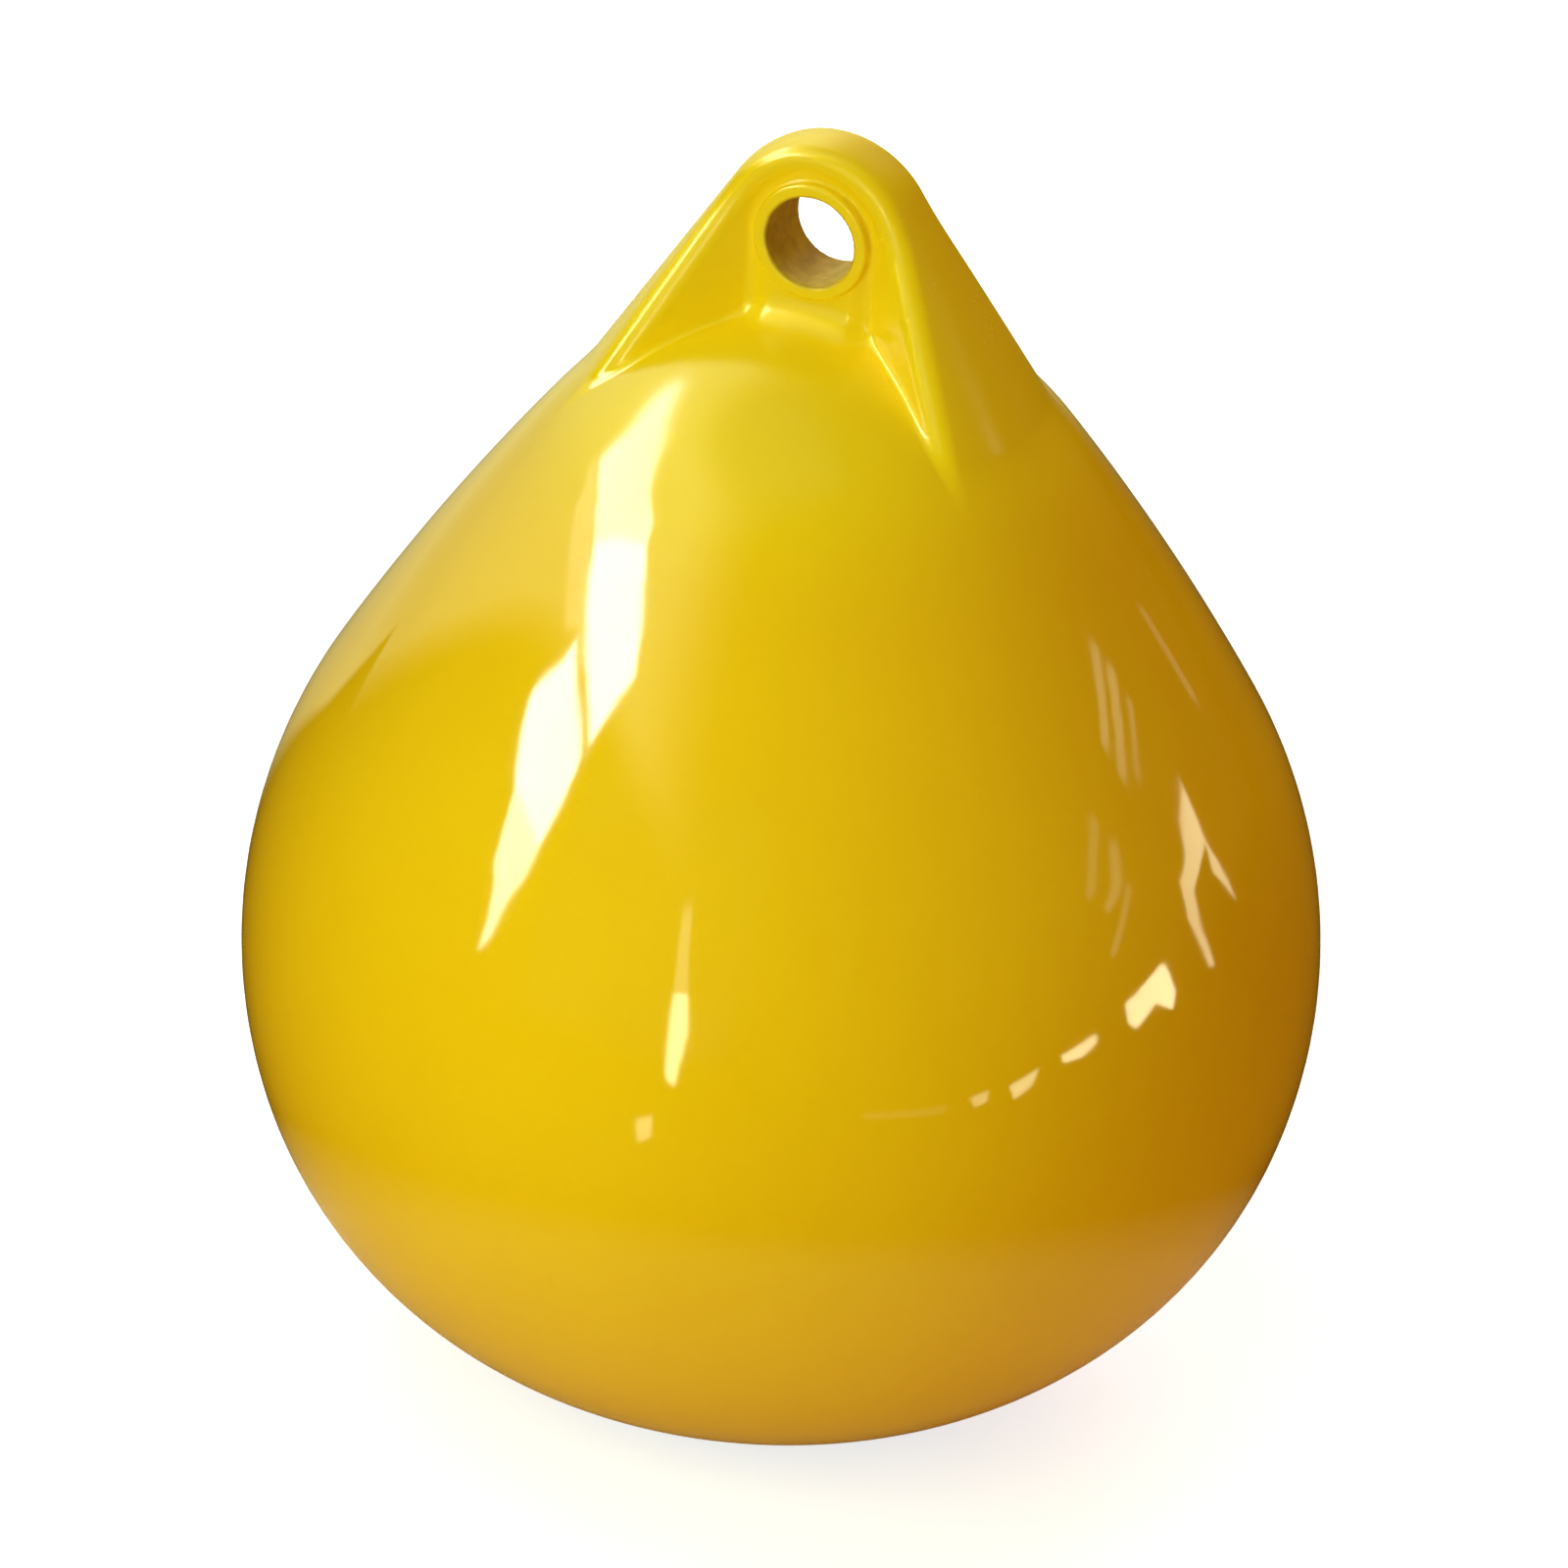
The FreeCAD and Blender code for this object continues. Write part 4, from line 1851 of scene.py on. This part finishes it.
@dataclass(frozen=True)
class Panel:
    """Large soft lamp, which lights the fender's colour and isn't seen in its gloss."""

    name: str
    azimuth: float
    elevation: float
    wide: float
    high: float
    radiance: float
    distance: float
    tint: Colour

    def build(self, target: Vector) -> bpy.types.Object:
        """Makes the lamp.

        Args:
            target: Point that it faces.

        Returns:
            The lamp.
        """
        lamp = bpy.data.lights.new(self.name, "AREA")
        lamp.shape = "RECTANGLE"
        lamp.size = 2 * self.distance * math.tan(math.radians(self.wide / 2))
        lamp.size_y = 2 * self.distance * math.tan(math.radians(self.high / 2))
        lamp.energy = self.radiance * math.pi * lamp.size * lamp.size_y
        lamp.color = self.tint
        made = bpy.data.objects.new(self.name, lamp)
        way = Vector(direction(self.azimuth, self.elevation))
        turn = way.to_track_quat("Z", "Y").to_matrix().to_4x4()
        made.matrix_world = Matrix.Translation(target + way * self.distance) @ turn
        made.visible_camera = made.visible_glossy = False
        bpy.context.scene.collection.objects.link(made)
        return made


WINDOW_LIGHT = (1.0, 1.0, 0.9)
WINDOW_TIP_LIGHT = (1.0, 1.0, 0.8)
LAMP_LIGHT = (1.0, 0.92, 0.55)


@dataclass(frozen=True)
class Shine:
    """Glowing card that only the fender's gloss sees: a window, a slit or a lamp's edge."""

    name: str
    radiance: float
    distance: float
    corners: tuple[tuple[float, float], ...]
    tint: Colour = LAMP_LIGHT

    def build(self, target: Vector) -> bpy.types.Object:
        """Makes the card.

        Args:
            target: Point that the corners' azimuths and elevations, in degrees, are taken from.

        Returns:
            The card.
        """
        points = direction(*np.array(self.corners).T) * self.distance + np.array(target)
        count = len(points)
        fan = [(i, (i + 1) % count, count) for i in range(count)]
        mesh = mesh_of(self.name, np.vstack([points, points.mean(0)]), fan)
        paint = bpy.data.materials.new(self.name)
        wire, surface = shading(paint, "ShaderNodeOutputMaterial")
        paint.cycles.emission_sampling = "NONE"
        glow = wire.node("ShaderNodeEmission", {"Color": self.tint, "Strength": self.radiance})
        wire.feed(surface, glow.outputs[0])
        mesh.materials.append(paint)
        made = new_object(self.name, mesh)
        made.visible_camera = made.visible_diffuse = False
        made.visible_transmission = made.visible_shadow = False
        return made


SHINES = (
    Shine("window_top", 15.0, 1.62, (
        (-117, 46), (-109, 43), (-95, 40), (-89, 32.5), (-75, 31), (-66, 33), (-47, 40.5),
        (-62, 45), (-83, 51),
    ), WINDOW_LIGHT),
    Shine("window_middle", 26.0, 1.62, (
        (-66, 33), (-53.5, 33.6), (-44, 33.8), (-36.6, 33.1), (-31.3, 38.2), (-35.5, 39.7),
        (-47, 40.5),
    ), WINDOW_LIGHT),
    Shine("window_rim", 5.0, 1.62, (
        (-92, 30.3), (-82, 27.3), (-68.5, 30.2), (-59.4, 31.1), (-54.4, 33), (-66, 32.6),
        (-75, 30.6),
    )),
    Shine("window_low", 24.0, 1.62, (
        (-54.3, 32.6), (-54.9, 31.2), (-59, 28), (-56.5, 27), (-50.7, 26), (-38.4, 26.9),
        (-37.3, 29.8), (-37.2, 32), (-41, 32.6), (-47.3, 32.5),
    ), WINDOW_LIGHT),
    Shine("window_tip", 16.0, 1.62, (
        (-50.7, 26), (-46.6, 24.9), (-44.6, 21), (-41.6, 13.6), (-41.4, 8.8), (-40.1, 12.4),
        (-39.8, 20.6), (-38.4, 26.9),
    ), WINDOW_TIP_LIGHT),
    Shine("slit_upper", 3.5, 1.62, ((-0.7, 32), (1.4, 32), (4.2, 16.8), (1.3, 16.2))),
    Shine("slit_front", 17.0, 1.62, (
        (1.3, 16.2), (4.2, 16.8), (5.5, 9), (3.9, -2.5), (2, -1), (1.7, 9),
    )),
    Shine("slit_low", 6.0, 0.55, ((-0.8, -7.4), (2.1, -6), (2, -10.4), (-0.4, -11.8))),
    Shine("patch", 15.0, 0.81, (
        (93.4, 3.3), (103.9, 5.4), (105.1, 4.5), (106.3, -0.5), (104.9, -2.8), (100.9, 0.1),
        (95.5, -1.9), (93.7, -0.3),
    )),
    Shine("dash_1", 13.0, 0.62, ((76.7, 0.8), (84.3, 2), (84.8, 0.4), (81.4, -1), (77, -0.7))),
    Shine("dash_2", 9.0, 0.62, ((66, -1.8), (72, -0.1), (70.5, -2.9), (67, -4.6))),
    Shine("dash_3", 6.0, 0.62, ((58.5, -2.3), (62.2, -1.8), (61.9, -3.9), (59.5, -4.4))),
    Shine("dash_4", 0.7, 0.62, ((38.9, -2.9), (54, -3), (54, -4.5), (38.9, -4.1))),
    Shine("shard_upper", 7.0, 1.09, (
        (130, 13.3), (129.3, 10.7), (125.7, 10.4), (120.7, 8.9), (115.7, 7), (117.2, 12),
        (124, 14.1),
    )),
    Shine("shard_side", 6.0, 1.09, ((129, 11.6), (131, -0.2), (127, 7))),
    Shine("shard_lower", 6.5, 1.09, (
        (117.5, 12), (120, 9.5), (118.2, 3.1), (119.9, -3.4), (118, -2.5), (115.6, 6.6),
    )),
    Shine("bar_1", 2.4, 1.62, (
        (126, 22.1), (124, 22.9), (113.7, 22.6), (114.3, 22), (116, 21.6), (126.7, 21.5),
    )),
    Shine("bar_2", 2.4, 1.62, (
        (127.6, 20), (125.6, 20.8), (114.7, 20.7), (115.3, 20.1), (116.9, 19.7), (128.2, 19.4),
    )),
    Shine("bar_3", 1.6, 1.62, (
        (128.5, 17.9), (126.9, 18.4), (118.8, 18.7), (119, 18.4), (120.2, 18.1), (128.5, 17.6),
    )),
    Shine("bar_4", 1.4, 1.62, (
        (103.9, 23.2), (102.1, 23.6), (95, 22.4), (95.4, 21.5), (97.1, 21.7), (104.3, 22.7),
    )),
    Shine("bar_5", 1.8, 1.62, (
        (106.7, 20.8), (104.8, 21.3), (97.9, 19.2), (98.2, 17.7), (100, 17.8), (107.2, 20.3),
    )),
    Shine("bar_6", 1.6, 1.62, (
        (106.6, 18.7), (105, 18.7), (95.8, 11.8), (95.7, 10.6), (97.1, 10.9), (106.2, 17.7),
    )),
    Shine("bar_7", 0.7, 1.62, (
        (149.3, 10.1), (148.2, 10.6), (148.7, 6.1), (149.8, 5.2), (150.8, 4.9), (150.4, 9.2),
    )),
)


@dataclass
class Studio:
    """Plain pale floor, soft panels and a white surround."""

    floor_height: float = -0.3256
    floor_reach: float = 6.0
    target: Vector = field(default_factory=lambda: Vector((0, 0, -0.2)))
    white: Colour = (1.0, 1.0, 1.0)
    ambient: float = 0.23
    ambient_tint: Colour = (1.0, 0.42, 0.16)
    gloss_heights: Range = (0.05, 0.9)
    gloss_levels: Range = (0.06, 0.22)
    gloss_tint: Colour = (1.0, 0.60, 0.20)
    wall_axis: tuple[float, float, float] = (0.25, 0.554, 0.794)
    wall_edge: Range = (-0.07, -0.03)
    wall_side: Range = (-0.5, 0.05)
    wall_top: Range = (0.8, 0.97)
    wall_rise: Range = (0.0, 0.6)
    wall_level: float = 2.8
    wall_tint: Colour = (0.97, 1.04, 0.50)
    horizon_share: float = 0.33
    floor_paint: Colour = (0.9, 0.9, 0.9)
    floor_bounce: Colour = (0.88, 0.66, 0.40)
    floor_gloss: Colour = (0.80, 0.68, 0.42)
    floor_gloss_far: Colour = (0.10, 0.06, 0.015)
    floor_gloss_wall: Colour = (0.20, 0.18, 0.12)
    floor_glow_near: float = 0.25
    floor_wall_edge: Range = (0.03, 0.055)
    floor_wall_side: Range = (-0.6, 0.05)
    floor_lift: Colour = (0.60, 0.69, 0.75)
    floor_lift_far: Colour = (0.84, 0.95, 1.0)
    floor_lift_reach: Range = (0.4, 1.6)
    floor_lit_middle: tuple[float, float] = (0.03, -0.07)
    floor_lit_reach: Range = (0.17, 0.23)
    panels: tuple[Panel, ...] = (
        Panel("soft_key", -6, 22, 40, 34, radiance=3.35, distance=0.65, tint=(0.765, 1.0, 0.66)),
        Panel("soft_right", 100, 5, 40, 40, radiance=0.6, distance=1.8, tint=(1.0, 0.7, 0.5)),
        Panel("soft_top", -40, 72, 40, 40, radiance=2.2, distance=1.8, tint=(0.82, 1.0, 0.8)),
        Panel("soft_back", -172, 35, 42, 42, radiance=2.3, distance=1.8, tint=(1.0, 0.95, 0.85)),
    )

    def build(self) -> None:
        """Makes the floor, the panels, the cards and the world."""
        for panel in self.panels:
            panel.build(self.target)
        for shine in SHINES:
            shine.build(self.target)
        self.floor()
        self.world()

    def floor(self) -> None:
        """Large pale floor that the fender stands on."""
        corners = np.array([(-1, -1), (1, -1), (1, 1), (-1, 1)]) * self.floor_reach
        points = np.column_stack([corners, np.full(len(corners), self.floor_height)])
        mesh = mesh_of("floor", points, [(0, 1, 2, 3)])
        paint = bpy.data.materials.new("floor_paint")
        wire, surface = shading(paint, "ShaderNodeOutputMaterial")
        ray = wire.node("ShaderNodeLightPath").outputs
        to_gloss = ray["Is Glossy Ray"]
        place = wire.node("ShaderNodeTexCoord").outputs["Object"]
        middle = (*self.floor_lit_middle, self.floor_height)
        out = wire.vector("LENGTH", wire.vector("SUBTRACT", place, middle))
        far = wire.ranged(out, self.floor_lit_reach)
        side = wire.vector("DOT_PRODUCT", place, (*self.wall_axis[:2], 0.0))
        aside = wire.ranged(wire.parts(place)["X"], self.floor_wall_side, (1.0, 0.0), smooth=True)
        behind = wire.math("MULTIPLY", wire.ranged(side, self.floor_wall_edge), aside)
        beyond = wire.mixed(behind, self.floor_gloss_far, self.floor_gloss_wall)
        gloss = wire.mixed(far, self.floor_gloss, beyond)
        plain = wire.mixed(ray["Is Diffuse Ray"], self.floor_paint, self.floor_bounce)
        matt = wire.node("ShaderNodeBsdfDiffuse", {"Color": wire.mixed(to_gloss, plain, gloss)})
        away = wire.ranged(out, self.floor_lift_reach, smooth=True)
        lifted = wire.mixed(away, self.floor_lift, self.floor_lift_far)
        levels = (self.floor_glow_near, self.horizon_share * self.wall_level)
        glow = wire.ranged(out, self.floor_lift_reach, levels)
        glow = wire.fold("MULTIPLY", glow, behind, far, to_gloss)
        level = wire.math("ADD", glow, ray["Is Camera Ray"])
        feeds = {"Color": wire.mixed(to_gloss, lifted, self.wall_tint), "Strength": level}
        lift = wire.node("ShaderNodeEmission", feeds)
        both = wire.node("ShaderNodeAddShader", {0: matt.outputs[0], 1: lift.outputs[0]})
        wire.feed(surface, both.outputs[0])
        mesh.materials.append(paint)
        new_object("floor", mesh)

    def world(self) -> None:
        """White to the camera, a soft surround with a pale wall to the gloss, a dim fill else."""
        world = bpy.data.worlds.new("surround")
        bpy.context.scene.world = world
        wire, surface = shading(world, "ShaderNodeOutputWorld")
        ray = wire.node("ShaderNodeLightPath").outputs
        to_gloss, to_camera = ray["Is Glossy Ray"], ray["Is Camera Ray"]
        through = ray["Is Transmission Ray"]
        place = wire.node("ShaderNodeTexCoord").outputs["Generated"]
        way = wire.parts(place)
        wall = wire.fold(
            "MULTIPLY",
            wire.ranged(wire.vector("DOT_PRODUCT", place, self.wall_axis), self.wall_edge),
            wire.ranged(way["X"], self.wall_side, (1.0, 0.0), smooth=True),
            wire.ranged(way["Z"], self.wall_top, (1.0, 0.0), smooth=True),
        )
        rise = wire.ranged(way["Z"], self.wall_rise, (self.horizon_share, 1.0))
        lit_wall = wire.fold("MULTIPLY", wall, rise, self.wall_level)
        surround = wire.ranged(way["Z"], self.gloss_heights, self.gloss_levels)
        gloss = wire.math("ADD", surround, lit_wall)
        seen = wire.math("MAXIMUM", to_camera, through)
        unseen = wire.math("SUBTRACT", 1.0, wire.math("MAXIMUM", to_gloss, seen))
        level = wire.fold(
            "ADD",
            wire.math("MULTIPLY", to_gloss, gloss),
            to_camera,
            through,
            wire.math("MULTIPLY", unseen, self.ambient),
        )
        shine = wire.mixed(wall, self.gloss_tint, self.wall_tint)
        tint = wire.mixed(to_gloss, self.ambient_tint, shine)
        feeds = {"Color": wire.mixed(seen, tint, self.white), "Strength": level}
        wire.feed(surface, wire.node("ShaderNodeBackground", feeds).outputs[0])


@dataclass(frozen=True)
class PhotoCamera:
    """Camera that takes the fender as the photograph does."""

    azimuth: float = 22.58
    elevation: float = 28.80
    roll: float = 3.62
    distance: float = 1.96
    lens: float = 173.08
    sensor: float = 36.0
    clip: Range = (0.05, 50.0)
    waist: tuple[float, float, float] = (0.0, 0.0, -0.2006)
    waist_seen: tuple[float, float] = (797.0, 957.1)
    frame_pixels: float = 1600.0

    def build(self) -> bpy.types.Object:
        """Makes the camera, aimed so that the waist's centre falls where the photograph has it.

        Returns:
            The camera.
        """
        back = Vector(direction(self.azimuth, self.elevation))
        right = (-back).cross(Vector((0, 0, 1))).normalized()
        up = right.cross(-back)
        c, s = math.cos(math.radians(self.roll)), math.sin(math.radians(self.roll))
        level = Matrix((right * c + up * s, up * c - right * s, -back))
        focal = self.lens / self.sensor * self.frame_pixels
        middle, (x, y) = self.frame_pixels / 2, self.waist_seen
        seen = Vector(((x - middle) / focal, (middle - y) / focal, 1))
        aim = Vector((0, 0, 1)).rotation_difference(seen).to_matrix() @ level
        turn = Matrix((aim[0], aim[1], -aim[2])).transposed().to_4x4()
        data = bpy.data.cameras.new("photo_camera")
        data.lens, data.sensor_width = self.lens, self.sensor
        data.clip_start, data.clip_end = self.clip
        data.dof.use_dof = False
        made = bpy.data.objects.new("photo_camera", data)
        made.matrix_world = Matrix.Translation(Vector(self.waist) + back * self.distance) @ turn
        bpy.context.scene.collection.objects.link(made)
        bpy.context.scene.camera = made
        return made


def settle_in(piece: bpy.types.Object, node: str, body: Body) -> None:
    """Puts a piece in the place of a CAD node and reports it.

    Args:
        piece: The piece.
        node: Name of the CAD node that it stands for.
        body: CAD body that it rides on.
    """
    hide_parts(node)
    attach(piece, body.value)
    faces = len(piece.data.polygons)
    LOG.info("%s stands for %s on %s: %d faces", piece.name, node, body.value, faces)


def main() -> None:
    """Builds the fender's looks round its CAD frame."""
    logging.basicConfig(level=logging.INFO, format="%(name)s: %(message)s")
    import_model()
    bpy.context.scene.view_settings.view_transform = "Standard"
    groups = {Effect.MOULDED: MouldedTone().build(), Effect.GRAIN: FineGrain().build()}
    finishes = {finish.slot: finish.build(groups) for finish in FINISHES}
    place = ValvePlace().matrix(Meridian(skin_inset=0.0))
    skin = FenderSkin(RopeEye(Meridian()), ValveSeat(), place).build(finishes[Slot.FENDER_PVC])
    settle_in(skin, "fender_body", Body.FENDER)
    valve = Valve(place)
    insert = valve.insert(finishes[Slot.VALVE_PLASTIC])
    settle_in(insert, "valve_insert", Body.FENDER)
    seal = valve.seal(finishes[Slot.SEAL_RUBBER])
    settle_in(seal, "valve_seal", Body.SEAL)
    plug = valve.plug(finishes[Slot.PLUG_PLASTIC])
    settle_in(plug, "valve_plug", Body.PLUG)
    Studio().build()
    PhotoCamera().build()


if __name__ == "__main__":
    main()
